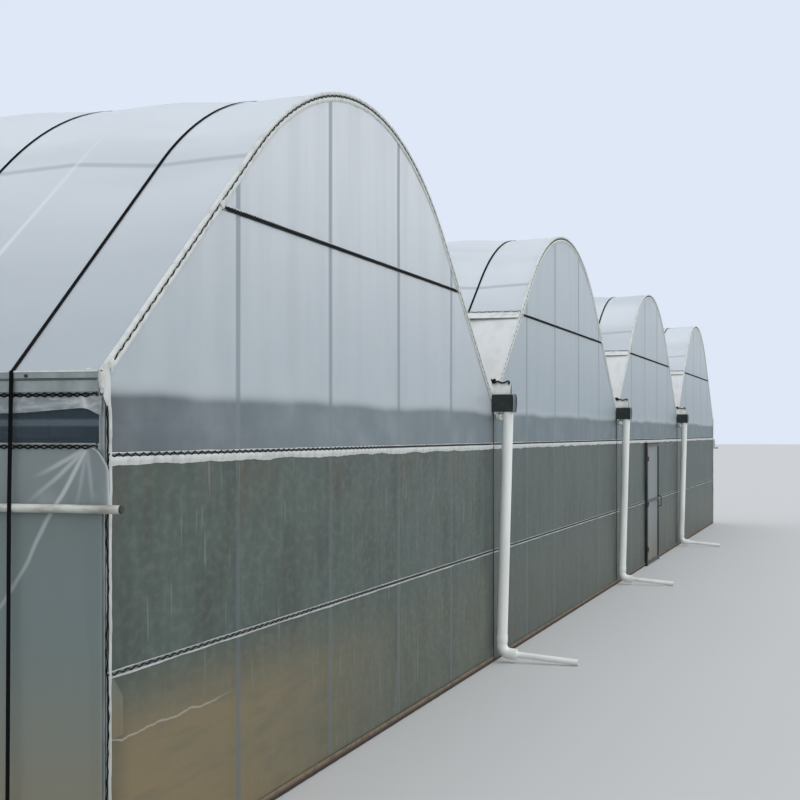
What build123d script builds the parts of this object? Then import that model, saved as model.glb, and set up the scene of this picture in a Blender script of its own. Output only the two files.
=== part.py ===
from build123d import *
import math
import os

os.makedirs("parts", exist_ok=True)

# A multi-span film greenhouse: bow roofs side by side, gutters between them, film on steel tube.
# X runs along the gable wall from span to span, Y along the gutters, Z up from the ground.
# The origin is the middle of the plan at ground level and all sizes are millimetres.

# Plan
SPANS = 4
SPAN = 8000
BAYS = 3
RIBS_PER_BAY = 4
RIB_PITCH = 1100

# Roof bow: outer line of the film in one span
SPRING_Z = 2600
ARCH_RISE = 2080
CROWN_R = 3600
FILM_T = 4
FILM_SAG = 30
FILM_SEAT = 0.3
ARCH_TUBE = 32
PURLIN_TUBE = 32
PURLIN_AT = 1600

# Columns, gutters and eaves
COLUMN = 60
GUTTER_BASE_Z = 2480
GUTTER_DEPTH = 163
GUTTER_WIDTH = 110
GUTTER_SHEET = 3
GUTTER_LIP = 70
GUTTER_JOINT = 0.5
HEAD_PLATE = 104
HEAD_PLATE_T = 6
EAVE_BASE_Z = 2460
EAVE_DEPTH = 100
EAVE_WIDTH = 100
EAVE_SHEET = 4
EAVE_LEDGE = 6
EAVE_LEDGE_H = 34
EAVE_LAP = 2

# Ties inside
TIE_TUBE = 42
TIE_Z = 2506
WEB_TUBE = 25
WEB_AT = 1600

# Lock channels that clamp the film
CHANNEL_W = 30
CHANNEL_D = 14
GROOVE_MOUTH = 14
GROOVE_BASE = 22
GROOVE_D = 10
ARCH_CHANNEL_W = 50

# Gable wall
POST = 50
POSTS_PER_SPAN = 4
WAIST_Z = 1100
RAIL_Z = 2150
HIGH_RAIL_Z = 3540
VALLEY_PATCH_H = 145
FILM_CLEAR = 1
RAIL_GAP = 0.5

# Side wall
VENT_TUBE = 12
VENT_TUBE_Z = 2310
CURTAIN_RAIL_Z = 2200
NET_T = 2
ROLL_TUBE = 40
ROLL_WALL = 3
ROLL_Z = 1900
ROLL_PAST_GABLE = 110

# Roof vents: a lock channel along the left flank of every span but the first
FIRST_VENT_SPAN = 2
VENT_RAIL_Z = 3570

# Press cords, flat black webbing over the film midway between ribs
CORD_W = 20
CORD_T = 3
CORD_GAP = 1
CORD_FOOT_OUT = 62

# Gutter outlets and downpipes
BOX_LENGTH = 220
BOX_WALL = 6
BOX_RIM = 14
BOX_PLATE_T = 8
BOX_GAP = 0.3
PIPE_D = 110
PIPE_WALL = 4
PIPE_TOP_OUT = 150
PIPE_FOOT_OUT = 85
PIPE_BEND_Z = 95
PIPE_BEND_R = 90
STUB_OUT = 240
STUB_DROP = 10
OUTLET_D = 60
OUTLET_END_OUT = 850
OUTLET_LIFT = 2
PIPE_SEAT_GAP = 0.3

# Door in the third span, between the two middle posts
DOOR_SPAN = 3
JAMB = 50
JAMB_PROUD = 44
LEAF_T = 30
LEAF_RAIL = 40
LEAF_SIDE_GAP = 8
LEAF_HEAD_GAP = 10
LEAF_FOOT_GAP = 25
HINGE_R = 8
HINGE_PIN_R = 4
HINGE_BORE_R = 4.3
HINGE_H = 40
HINGE_GAP = 0.4
HINGE_LEAF_W = 42
HINGE_PLATE_T = 3
HINGE_STANDOFF = 10
HINGE_ENDS = 250
HANDLE_Z = 1050
HANDLE_LENGTH = 180
HANDLE_R = 7
HANDLE_STANDOFF = 45

# Derived places
frame_length = BAYS * RIBS_PER_BAY * RIB_PITCH
frame_end = frame_length / 2
half_span = SPAN / 2
half_width = SPANS * half_span
column_face = COLUMN / 2
wall_out = column_face + CHANNEL_D
gable_y = frame_end + wall_out
side_x = half_width + wall_out
gutter_top = GUTTER_BASE_Z + GUTTER_DEPTH
eave_top = EAVE_BASE_Z + EAVE_DEPTH
crown_z = SPRING_Z + ARCH_RISE
crown_centre_z = crown_z - CROWN_R
line_xs = [-half_width + SPAN * i for i in range(SPANS + 1)]
valley_xs = line_xs[1:-1]
span_xs = [x + half_span for x in line_xs[:-1]]
rib_ys = [-frame_end + RIB_PITCH * i for i in range(BAYS * RIBS_PER_BAY + 1)]
cord_ys = [y + RIB_PITCH / 2 for y in rib_ys[:-1]]
frame_ys = rib_ys[::RIBS_PER_BAY]
post_pitch = SPAN / (POSTS_PER_SPAN + 1)
post_xs = [-half_span + post_pitch * (i + 1) for i in range(POSTS_PER_SPAN)]

# The flank leaves the crown circle at this angle and runs straight to the spring point
flank = math.asin(CROWN_R / math.hypot(half_span, CROWN_R - ARCH_RISE)) - math.atan2(
    CROWN_R - ARCH_RISE, half_span
)


def crown_point(drop, side):
    """Where the crown arc meets the flank, drop below the outer line."""
    radius = CROWN_R - drop
    return (side * radius * math.sin(flank), crown_centre_z + radius * math.cos(flank))


def foot_point(drop, side, z):
    """Where a flank that lies drop below the outer line reaches height z."""
    x, top = crown_point(drop, side)
    return (x + side * (top - z) / math.tan(flank), z)


def roof_height(drop, x):
    """Height of the line that lies drop below the outer line, at x from the span's middle."""
    tangent_x, tangent_z = crown_point(drop, 1)
    if abs(x) <= tangent_x:
        return crown_centre_z + math.sqrt((CROWN_R - drop) ** 2 - x**2)
    return tangent_z - (abs(x) - tangent_x) * math.tan(flank)


def roof_foot_gap(z):
    """How far the outer line of the roof is from its gutter line at height z."""
    return half_span - foot_point(0, 1, z)[0]


def draw_shell(cx, crown_drop, foot_drop, thickness, z_left, z_right):
    """Closed outline of a thin bow: flank, crown arc, flank, and back along its inside."""
    with BuildLine() as outline:
        for extra in (0, thickness):
            feet = [foot_point(foot_drop + extra, s, z) for s, z in ((-1, z_left), (1, z_right))]
            crown = [crown_point(crown_drop + extra, s) for s in (-1, 1)]
            top = (cx, crown_z - crown_drop - extra)
            left, right = [(cx + x, z) for x, z in feet]
            start, end = [(cx + x, z) for x, z in crown]
            Line(left, start)
            ThreePointArc(start, top, end)
            Line(end, right)
            if extra == 0:
                outer = (left, right)
        Line(outer[0], left)
        Line(outer[1], right)
    make_face(outline.edges())


def draw_under_roof(cx, drop, z_low):
    """Region below the line that lies drop under the outer line, down to z_low."""
    edge_z = roof_height(drop, half_span)
    (start_x, start_z), (end_x, end_z) = crown_point(drop, -1), crown_point(drop, 1)
    left, right = cx - half_span, cx + half_span
    with BuildLine() as outline:
        Polyline((left, z_low), (left, edge_z), (cx + start_x, start_z))
        ThreePointArc((cx + start_x, start_z), (cx, crown_z - drop), (cx + end_x, end_z))
        Polyline((cx + end_x, end_z), (right, edge_z), (right, z_low), (left, z_low))
    make_face(outline.edges())


def foot_heights(index):
    """Heights at which the roof of one span ends on its left and right."""
    left = eave_top if index == 0 else gutter_top
    right = eave_top if index == SPANS - 1 else gutter_top
    return left, right


def channel_section(width):
    """Lock channel with its dovetail groove open towards local +Y."""
    Rectangle(width, CHANNEL_D, align=(Align.CENTER, Align.MAX))
    with BuildLine() as groove:
        Polyline(
            (-GROOVE_MOUTH / 2, 0),
            (-GROOVE_BASE / 2, -GROOVE_D),
            (GROOVE_BASE / 2, -GROOVE_D),
            (GROOVE_MOUTH / 2, 0),
            close=True,
        )
    make_face(groove.edges(), mode=Mode.SUBTRACT)


def level_channel(start, end, outward):
    """Level lock channel from start to end whose groove faces outward."""
    along = (Vector(*end) - Vector(*start)).normalized()
    x_dir = Vector(*outward).cross(along)
    with BuildSketch(Plane(origin=start, x_dir=x_dir, z_dir=along)) as section:
        channel_section(CHANNEL_W)
    extrude(section.sketch, amount=(Vector(*end) - Vector(*start)).length)


def save(builder, label):
    """Names a finished piece and writes its file."""
    builder.part.label = label
    export_step(builder.part, f"parts/{label}.step")


# Columns, one node for each line of them
for number, x in enumerate(line_xs, 1):
    at_eave = number in (1, SPANS + 1)
    top = EAVE_BASE_Z if at_eave else GUTTER_BASE_Z
    with BuildPart() as column_line:
        with BuildSketch():
            with Locations(*[(x, y) for y in frame_ys]):
                Rectangle(COLUMN, COLUMN)
        extrude(amount=top - HEAD_PLATE_T)
        with BuildSketch(Plane.XY.offset(top - HEAD_PLATE_T)):
            with Locations(*[(x, y) for y in frame_ys]):
                Rectangle(COLUMN if at_eave else HEAD_PLATE, COLUMN)
        extrude(amount=HEAD_PLATE_T)
    save(column_line, f"column_line_{number}")

# Valley gutters, open troughs whose lips carry the feet of the bows. Their lengths meet on the columns
trough = GUTTER_WIDTH - 2 * GUTTER_SHEET
gutter_ends = [-gable_y, *frame_ys[1:-1], gable_y]
for number, x in enumerate(valley_xs, 1):
    with BuildPart() as valley_gutter:
        for start, end in zip(gutter_ends, gutter_ends[1:]):
            with BuildSketch(Plane.XZ.offset(GUTTER_JOINT / 2 - end)):
                with Locations((x, GUTTER_BASE_Z)):
                    Rectangle(GUTTER_WIDTH, GUTTER_DEPTH, align=(Align.CENTER, Align.MIN))
                with Locations((x, gutter_top)):
                    Rectangle(
                        GUTTER_WIDTH + 2 * GUTTER_LIP, GUTTER_SHEET, align=(Align.CENTER, Align.MAX)
                    )
                    Rectangle(
                        trough,
                        GUTTER_DEPTH - GUTTER_SHEET,
                        align=(Align.CENTER, Align.MAX),
                        mode=Mode.SUBTRACT,
                    )
            extrude(amount=end - start - GUTTER_JOINT)
    save(valley_gutter, f"valley_gutter_{number}")

# Eave beams, hollow, with the ledge that holds the lower edge of the roof film
beam_end = frame_end + column_face
eave_face = half_width + (foot_point(0, 1, eave_top)[0] - half_span) + EAVE_LAP
for side, name in ((-1, "left"), (1, "right")):
    with BuildPart() as eave_beam:
        with BuildSketch(Plane.XZ.offset(-beam_end)):
            with Locations((side * (eave_face - EAVE_WIDTH / 2), EAVE_BASE_Z)):
                Rectangle(EAVE_WIDTH, EAVE_DEPTH, align=(Align.CENTER, Align.MIN))
            with Locations((side * (eave_face + EAVE_LEDGE / 2), eave_top)):
                Rectangle(EAVE_LEDGE, EAVE_LEDGE_H, align=(Align.CENTER, Align.MAX))
            with Locations((side * (eave_face - EAVE_WIDTH / 2), EAVE_BASE_Z + EAVE_SHEET)):
                Rectangle(
                    EAVE_WIDTH - 2 * EAVE_SHEET,
                    EAVE_DEPTH - 2 * EAVE_SHEET,
                    align=(Align.CENTER, Align.MIN),
                    mode=Mode.SUBTRACT,
                )
        extrude(amount=2 * beam_end)
    save(eave_beam, f"eave_beam_{name}")

# Bows, one node for each span, standing on the gutter lips or eave beams
arch_drop = FILM_T + FILM_SEAT + ARCH_TUBE / 2
foot_cut = half_span / 2
for index, cx in enumerate(span_xs):
    z_left, z_right = foot_heights(index)
    low_left = foot_point(arch_drop, -1, z_left - ARCH_TUBE)
    low_right = foot_point(arch_drop, 1, z_right - ARCH_TUBE)
    (start_x, start_z), (end_x, end_z) = crown_point(arch_drop, -1), crown_point(arch_drop, 1)
    start, top, end = (cx + start_x, 0, start_z), (cx, 0, crown_z - arch_drop), (cx + end_x, 0, end_z)
    with BuildPart() as one_arch:
        with BuildLine() as arch_path:
            Line((cx + low_left[0], 0, low_left[1]), start)
            ThreePointArc(start, top, end)
            Line(end, (cx + low_right[0], 0, low_right[1]))
        with BuildSketch(arch_path.line ^ 0):
            Circle(ARCH_TUBE / 2)
        sweep()
        with Locations((cx - half_span, 0, z_left), (cx + half_span, 0, z_right)):
            Box(
                foot_cut,
                foot_cut,
                foot_cut,
                align=(Align.CENTER, Align.CENTER, Align.MAX),
                mode=Mode.SUBTRACT,
            )
    with BuildPart() as arches:
        with Locations(*[(0, y, 0) for y in rib_ys]):
            add(one_arch.part)
    save(arches, f"arches_span_{index + 1}")

# Purlins along the roof, under the bows: one at the ridge and one on each flank
under_arch = FILM_T + FILM_SEAT + ARCH_TUBE
purlin_drop = under_arch + FILM_SEAT + PURLIN_TUBE / 2
post_back = POST - column_face
side_purlin_x = half_span - PURLIN_AT
side_purlin_z = roof_height(purlin_drop, side_purlin_x)
side_purlin_length = 2 * (frame_end - post_back)
ridge_purlin_length = 2 * frame_end + ARCH_TUBE
with BuildPart() as purlins:
    for cx in span_xs:
        for x, z, length in (
            (cx - side_purlin_x, side_purlin_z, side_purlin_length),
            (cx, crown_z - purlin_drop, ridge_purlin_length),
            (cx + side_purlin_x, side_purlin_z, side_purlin_length),
        ):
            with BuildSketch(Plane.XZ.offset(-length / 2)):
                with Locations((x, z)):
                    Circle(PURLIN_TUBE / 2)
            extrude(amount=length)
save(purlins, "purlins")

# Ties across each inner frame, from gutter to gutter
with BuildPart() as tie_bars:
    for index, cx in enumerate(span_xs):
        left = cx - half_span + (EAVE_WIDTH + half_width - eave_face if index == 0 else GUTTER_WIDTH / 2)
        right = cx + half_span - (
            EAVE_WIDTH + half_width - eave_face if index == SPANS - 1 else GUTTER_WIDTH / 2
        )
        for y in frame_ys[1:-1]:
            with BuildSketch(Plane.YZ.offset(left)):
                with Locations((y, TIE_Z)):
                    Circle(TIE_TUBE / 2)
            extrude(amount=right - left)
save(tie_bars, "tie_bars")

# Uprights between each tie and its bow
web_foot = TIE_Z + TIE_TUBE / 2
with BuildPart() as tie_uprights:
    for cx in span_xs:
        for side in (-1, 1):
            for y in frame_ys[1:-1]:
                with BuildSketch(Plane.XY.offset(web_foot)):
                    with Locations((cx + side * WEB_AT, y)):
                        Circle(WEB_TUBE / 2)
                extrude(amount=ARCH_RISE)
    with BuildPart(mode=Mode.PRIVATE) as room_under_bows:
        for cx in span_xs:
            with BuildSketch(Plane.XZ.offset(-frame_end)):
                draw_under_roof(cx, under_arch, GUTTER_BASE_Z)
            extrude(amount=frame_length)
    add(room_under_bows.part, mode=Mode.INTERSECT)
save(tie_uprights, "tie_uprights")

# Roof vent rails, straight lock channels seated on the film along one flank
vent_rail_lift = FILM_SEAT + CHANNEL_D
vent_rail_out = (-math.sin(flank), 0, math.cos(flank))
with BuildPart() as roof_vent_rails:
    for cx in span_xs[FIRST_VENT_SPAN - 1 :]:
        vent_x = cx + foot_point(-vent_rail_lift, -1, VENT_RAIL_Z)[0]
        level_channel((vent_x, -gable_y, VENT_RAIL_Z), (vent_x, gable_y, VENT_RAIL_Z), vent_rail_out)
save(roof_vent_rails, "roof_vent_rails")

# Gable walls: posts, rails, clamped film, gutter outlets. Both ends are alike but for the door
door_x = span_xs[DOOR_SPAN - 1]
door_left = door_x + post_xs[1]
door_right = door_x + post_xs[2]
jamb_top = RAIL_Z - CHANNEL_W / 2
arch_groove_drop = FILM_T + (ARCH_CHANNEL_W - GROOVE_BASE) / 2
gable_film_drop = FILM_T + ARCH_CHANNEL_W
band_foot_z = roof_height(gable_film_drop, half_span + wall_out)
arch_channel_foot = half_span - foot_point(gable_film_drop, 1, gutter_top)[0]
valley_patch_base = gutter_top + GUTTER_SHEET
high_rail_half = foot_point(gable_film_drop, 1, HIGH_RAIL_Z + CHANNEL_W / 2)[0]
edge_lap = CHANNEL_W - column_face


def wall_spans(has_door, gap=0):
    """Stretches of wall between the vertical channels less a gap, split at the doorway."""
    for index, cx in enumerate(span_xs):
        left = cx - half_span + (edge_lap if index == 0 else CHANNEL_W / 2) + gap
        right = cx + half_span - (edge_lap if index == SPANS - 1 else CHANNEL_W / 2) - gap
        if has_door and index == DOOR_SPAN - 1:
            yield left, door_left
            yield door_right, right
        else:
            yield left, right


for side, name in ((-1, "front"), (1, "back")):
    has_door = side == -1
    wall_plane = Plane.XZ.offset(-side * gable_y)
    # The planes face -Y, so a negative amount at the front and a positive one at the back go inwards
    inward = side
    post_plane = Plane.XZ.offset(-side * (frame_end + column_face))

    # Posts between the columns, cut off under the end bow
    with BuildPart() as gable_posts:
        with BuildSketch(post_plane):
            with Locations(*[(cx + x, 0) for cx in span_xs for x in post_xs]):
                Rectangle(POST, crown_z, align=(Align.CENTER, Align.MIN))
        extrude(amount=inward * POST)
        with BuildPart(mode=Mode.PRIVATE) as room_under_end_bow:
            for cx in span_xs:
                with BuildSketch(post_plane):
                    draw_under_roof(cx, under_arch, 0)
                extrude(amount=inward * POST)
        add(room_under_end_bow.part, mode=Mode.INTERSECT)
    save(gable_posts, f"gable_posts_{name}")

    # Curved channel that clamps the roof film to the end bow
    with BuildPart() as arch_channels:
        for index, cx in enumerate(span_xs):
            for drop, width, depth, mode in (
                (FILM_T, ARCH_CHANNEL_W, CHANNEL_D, Mode.ADD),
                (arch_groove_drop, GROOVE_BASE, GROOVE_D, Mode.SUBTRACT),
            ):
                with BuildSketch(wall_plane):
                    draw_shell(cx, drop, drop, width, band_foot_z - width, band_foot_z - width)
                extrude(amount=inward * depth, mode=mode)
        with BuildPart(mode=Mode.PRIVATE) as band_limits:
            with BuildSketch(wall_plane):
                with Locations((0, gutter_top)):
                    Rectangle(2 * side_x, ARCH_RISE, align=(Align.CENTER, Align.MIN))
                for edge in (-1, 1):
                    with Locations((edge * (side_x - half_span / 2), band_foot_z)):
                        Rectangle(half_span, ARCH_RISE, align=(Align.CENTER, Align.MIN))
            extrude(amount=inward * CHANNEL_D)
        add(band_limits.part, mode=Mode.INTERSECT)
    save(arch_channels, f"gable_arch_channels_{name}")

    # Straight lock channels: one up each column, three levels of rails across the posts
    channel_y = side * gable_y
    with BuildPart() as gable_rails:
        for x in line_xs:
            at_edge = abs(x) == half_width
            channel_x = x + math.copysign(column_face - CHANNEL_W / 2, x) if at_edge else x
            top = band_foot_z if at_edge else GUTTER_BASE_Z
            level_channel((channel_x, channel_y, 0), (channel_x, channel_y, top), (0, side, 0))
        for left, right in wall_spans(has_door, RAIL_GAP):
            level_channel((left, channel_y, WAIST_Z), (right, channel_y, WAIST_Z), (0, side, 0))
        for left, right in wall_spans(False, RAIL_GAP):
            level_channel((left, channel_y, RAIL_Z), (right, channel_y, RAIL_Z), (0, side, 0))
        for cx in span_xs:
            ends = [(cx + edge * high_rail_half, channel_y, HIGH_RAIL_Z) for edge in (-1, 1)]
            level_channel(*ends, (0, side, 0))
    save(gable_rails, f"gable_rails_{name}")

    # Wall film below the white rail, in two heights
    with BuildPart() as gable_wall_film:
        with BuildSketch(wall_plane):
            for left, right in wall_spans(has_door):
                for low, high in (
                    (0, WAIST_Z - CHANNEL_W / 2),
                    (WAIST_Z + CHANNEL_W / 2, RAIL_Z - CHANNEL_W / 2),
                ):
                    with Locations(((left + right) / 2, (low + high) / 2)):
                        Rectangle(right - left, high - low)
        extrude(amount=inward * FILM_T)
    save(gable_wall_film, f"gable_wall_film_{name}")

    # Milky film under the bows, above the white rail, and the patch over each valley
    with BuildPart() as gable_arch_film:
        for index, cx in enumerate(span_xs):
            left, right = list(wall_spans(False))[index]
            with BuildSketch(wall_plane):
                draw_under_roof(cx, gable_film_drop, RAIL_Z + CHANNEL_W / 2)
                with Locations(((left + right) / 2, 0)):
                    Rectangle(right - left, 2 * crown_z, mode=Mode.INTERSECT)
                with Locations((cx, HIGH_RAIL_Z)):
                    Rectangle(SPAN, CHANNEL_W, mode=Mode.SUBTRACT)
                for x in valley_xs:
                    with Locations((x, GUTTER_BASE_Z - FILM_CLEAR)):
                        Rectangle(
                            GUTTER_WIDTH + 2 * FILM_CLEAR,
                            foot_cut,
                            align=(Align.CENTER, Align.MIN),
                            mode=Mode.SUBTRACT,
                        )
                    with Locations((x, gutter_top - GUTTER_SHEET - FILM_CLEAR)):
                        Rectangle(
                            2 * arch_channel_foot,
                            foot_cut,
                            align=(Align.CENTER, Align.MIN),
                            mode=Mode.SUBTRACT,
                        )
            extrude(amount=inward * FILM_T)
        for x in valley_xs:
            low = roof_foot_gap(valley_patch_base)
            high = roof_foot_gap(valley_patch_base + VALLEY_PATCH_H)
            with BuildSketch(wall_plane):
                with BuildLine():
                    Polyline(
                        (x - low, valley_patch_base),
                        (x + low, valley_patch_base),
                        (x + high, valley_patch_base + VALLEY_PATCH_H),
                        (x - high, valley_patch_base + VALLEY_PATCH_H),
                        close=True,
                    )
                make_face()
            extrude(amount=inward * FILM_T)
    save(gable_arch_film, f"gable_arch_film_{name}")

    # Dark outlet box on the end of each gutter, with a rim and a rounded end plate
    box_plane = Plane.XZ.offset(-side * (gable_y + BOX_LENGTH))
    box_width = GUTTER_WIDTH + 2 * BOX_WALL
    box_base = GUTTER_BASE_Z - BOX_WALL
    with BuildPart() as outlet_boxes:
        for x in valley_xs:
            with BuildSketch(box_plane):
                with Locations((x, box_base)):
                    Rectangle(box_width, gutter_top - box_base, align=(Align.CENTER, Align.MIN))
                with Locations((x, GUTTER_BASE_Z)):
                    Rectangle(
                        GUTTER_WIDTH,
                        gutter_top - GUTTER_BASE_Z,
                        align=(Align.CENTER, Align.MIN),
                        mode=Mode.SUBTRACT,
                    )
            extrude(amount=inward * (BOX_LENGTH - BOX_GAP))
            with BuildSketch(box_plane):
                with Locations((x, (box_base + gutter_top) / 2)):
                    RectangleRounded(
                        box_width + 2 * BOX_RIM, gutter_top - box_base + BOX_RIM, radius=2 * BOX_RIM
                    )
            extrude(amount=inward * BOX_PLATE_T)
            with BuildSketch(Plane.XY.offset(box_base)):
                with Locations((x, side * (gable_y + PIPE_TOP_OUT))):
                    Circle(PIPE_D / 2 - PIPE_WALL)
            extrude(amount=BOX_WALL, mode=Mode.SUBTRACT)
    save(outlet_boxes, f"outlet_boxes_{name}")

    # Downpipe from each box: it leans back to the wall, bends and runs out along the ground
    with BuildPart() as downpipes:
        for x in valley_xs:
            head = (x, side * (gable_y + PIPE_TOP_OUT), GUTTER_BASE_Z)
            corner = (x, side * (gable_y + PIPE_FOOT_OUT), PIPE_BEND_Z)
            stub = (x, side * (gable_y + STUB_OUT), PIPE_BEND_Z - STUB_DROP)
            with BuildLine() as pipe_path:
                FilletPolyline(head, corner, stub, radius=PIPE_BEND_R)
            with BuildSketch(pipe_path.line ^ 0):
                Circle(PIPE_D / 2)
            sweep()
            outlet_end = Vector(x, side * (gable_y + OUTLET_END_OUT), OUTLET_D / 2 + OUTLET_LIFT)
            outlet_run = Vector(*stub) - outlet_end
            with BuildSketch(Plane(origin=outlet_end, z_dir=outlet_run)):
                Circle(OUTLET_D / 2)
            extrude(amount=outlet_run.length)
            with BuildSketch(Plane(origin=outlet_end, z_dir=outlet_run)):
                Circle(OUTLET_D / 2 - PIPE_WALL)
            extrude(amount=outlet_run.length - PIPE_D, mode=Mode.SUBTRACT)
            with Locations((x, side * (gable_y + PIPE_TOP_OUT), box_base - PIPE_SEAT_GAP)):
                Box(
                    2 * PIPE_D,
                    2 * PIPE_D,
                    2 * PIPE_D,
                    align=(Align.CENTER, Align.CENTER, Align.MIN),
                    mode=Mode.SUBTRACT,
                )
    save(downpipes, f"downpipes_{name}")

# Roof film, one sheet for each span. It lies on the bows and is pulled down under each press cord
film_stations = [(-gable_y, 0)]
for number, y in enumerate(rib_ys):
    film_stations.append((y, 0))
    if number < len(cord_ys):
        film_stations.append((cord_ys[number], FILM_SAG))
film_stations.append((gable_y, 0))
for index, cx in enumerate(span_xs):
    z_left, z_right = foot_heights(index)
    with BuildPart() as roof_film:
        for y, sag in film_stations:
            with BuildSketch(Plane.XZ.offset(-y)):
                draw_shell(cx, sag, 0, FILM_T, z_left, z_right)
        loft(ruled=True)
    save(roof_film, f"roof_film_span_{index + 1}")

# Press cords over the film. Those of the outer spans run on down the side wall to the ground
cord_drop = FILM_SAG - CORD_GAP - CORD_T
roll_x = side_x + ROLL_TUBE / 2 + RAIL_GAP
cord_bend_x = roll_x + ROLL_TUBE / 2 + CORD_GAP
cord_top_x = eave_face + EAVE_LEDGE + CORD_GAP
curtain_foot_z = ROLL_Z + math.sqrt((ROLL_TUBE / 2) ** 2 - (ROLL_TUBE / 2 - FILM_T) ** 2) + RAIL_GAP
for index, cx in enumerate(span_xs):
    z_left, z_right = foot_heights(index)
    outer_side = {0: -1, SPANS - 1: 1}.get(index)
    with BuildPart() as press_cords:
        for y in cord_ys:
            with BuildSketch(Plane.XZ.offset(-y)):
                draw_shell(cx, cord_drop, -CORD_GAP - CORD_T, CORD_T, z_left, z_right)
                if outer_side:
                    cord_foot = roof_foot_gap(eave_top)
                    with BuildLine():
                        Polyline(
                            (outer_side * (half_width - cord_foot), eave_top + CORD_GAP),
                            (outer_side * cord_top_x, eave_top + CORD_GAP),
                            (outer_side * cord_bend_x, ROLL_Z),
                            (outer_side * (side_x + CORD_FOOT_OUT), 0),
                            (outer_side * (side_x + CORD_FOOT_OUT + CORD_T), 0),
                            (outer_side * (cord_bend_x + CORD_T), ROLL_Z),
                            (outer_side * (cord_top_x + CORD_T), eave_top + CORD_GAP + CORD_T),
                            (outer_side * (half_width - cord_foot), eave_top + CORD_GAP + CORD_T),
                            close=True,
                        )
                    make_face()
            extrude(amount=CORD_W / 2, both=True)
    save(press_cords, f"press_cords_span_{index + 1}")

# Side walls: rails, film, the open vent with its net, and the rolled curtain
side_end = frame_end + column_face
top_rail_z = EAVE_BASE_Z - CHANNEL_W / 2
for side, name in ((-1, "left"), (1, "right")):
    face_x = side * side_x
    side_plane = Plane.YZ.offset(face_x)
    with BuildPart() as side_rails:
        rail_end = side_end - CHANNEL_W - RAIL_GAP
        for z in (top_rail_z, CURTAIN_RAIL_Z):
            level_channel((face_x, -rail_end, z), (face_x, rail_end, z), (side, 0, 0))
        for y in (-side_end + CHANNEL_W / 2, side_end - CHANNEL_W / 2):
            level_channel((face_x, y, 0), (face_x, y, EAVE_BASE_Z), (side, 0, 0))
        with BuildSketch(Plane.XZ.offset(-rail_end)):
            with Locations((side * (half_width + column_face + NET_T + VENT_TUBE / 2), VENT_TUBE_Z)):
                Circle(VENT_TUBE / 2)
        extrude(amount=2 * rail_end)
    save(side_rails, f"side_rails_{name}")

    with BuildPart() as side_wall_film:
        with BuildSketch(side_plane):
            Rectangle(
                2 * (side_end - CHANNEL_W), CURTAIN_RAIL_Z - CHANNEL_W / 2, align=(Align.CENTER, Align.MIN)
            )
        extrude(amount=-side * FILM_T)
    save(side_wall_film, f"side_wall_film_{name}")

    with BuildPart() as vent_net:
        with BuildSketch(Plane.YZ.offset(side * (half_width + column_face))):
            with Locations((0, CURTAIN_RAIL_Z + CHANNEL_W / 2)):
                Rectangle(
                    2 * (side_end - CHANNEL_W),
                    top_rail_z - CURTAIN_RAIL_Z - CHANNEL_W,
                    align=(Align.CENTER, Align.MIN),
                )
        extrude(amount=side * NET_T)
    save(vent_net, f"vent_net_{name}")

    with BuildPart() as side_curtain:
        with BuildSketch(side_plane):
            with Locations((0, curtain_foot_z)):
                Rectangle(
                    2 * side_end, CURTAIN_RAIL_Z - curtain_foot_z, align=(Align.CENTER, Align.MIN)
                )
        extrude(amount=side * FILM_T)
    save(side_curtain, f"side_curtain_{name}")

    with BuildPart() as roll_tube:
        with BuildSketch(Plane.XZ.offset(-gable_y - ROLL_PAST_GABLE)):
            with Locations((side * roll_x, ROLL_Z)):
                Circle(ROLL_TUBE / 2)
                Circle(ROLL_TUBE / 2 - ROLL_WALL, mode=Mode.SUBTRACT)
        extrude(amount=2 * (gable_y + ROLL_PAST_GABLE))
    save(roll_tube, f"curtain_roll_tube_{name}")

# Door frame, black tube standing proud of the film
jamb_back = -gable_y + CHANNEL_D
jamb_front = -gable_y - JAMB_PROUD
jamb_depth = CHANNEL_D + JAMB_PROUD
head_z = jamb_top - JAMB
with BuildPart() as door_frame:
    with BuildSketch(Plane.XZ.offset(-jamb_back)):
        with Locations(((door_left + door_right) / 2, 0)):
            Rectangle(door_right - door_left, jamb_top, align=(Align.CENTER, Align.MIN))
            Rectangle(
                door_right - door_left - 2 * JAMB,
                head_z,
                align=(Align.CENTER, Align.MIN),
                mode=Mode.SUBTRACT,
            )
    extrude(amount=jamb_depth)
save(door_frame, "door_frame")

# Door leaf: tube frame with a middle rail and a pull handle, film in both fields
leaf_left = door_left + JAMB + LEAF_SIDE_GAP
leaf_right = door_right - JAMB - LEAF_SIDE_GAP
leaf_low = LEAF_FOOT_GAP
leaf_high = head_z - LEAF_HEAD_GAP
leaf_mid_x = (leaf_left + leaf_right) / 2
leaf_plane = Plane.XZ.offset(-jamb_front - LEAF_T)
field_width = leaf_right - leaf_left - 2 * LEAF_RAIL
fields = (
    (leaf_low + LEAF_RAIL, WAIST_Z - LEAF_RAIL / 2),
    (WAIST_Z + LEAF_RAIL / 2, leaf_high - LEAF_RAIL),
)
handle_x = leaf_right - LEAF_RAIL / 2
hinge_x = leaf_left - LEAF_SIDE_GAP / 2
hinge_y = jamb_front - HINGE_STANDOFF
hinge_zs = (leaf_low + HINGE_ENDS, (leaf_low + leaf_high) / 2, leaf_high - HINGE_ENDS)
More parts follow.
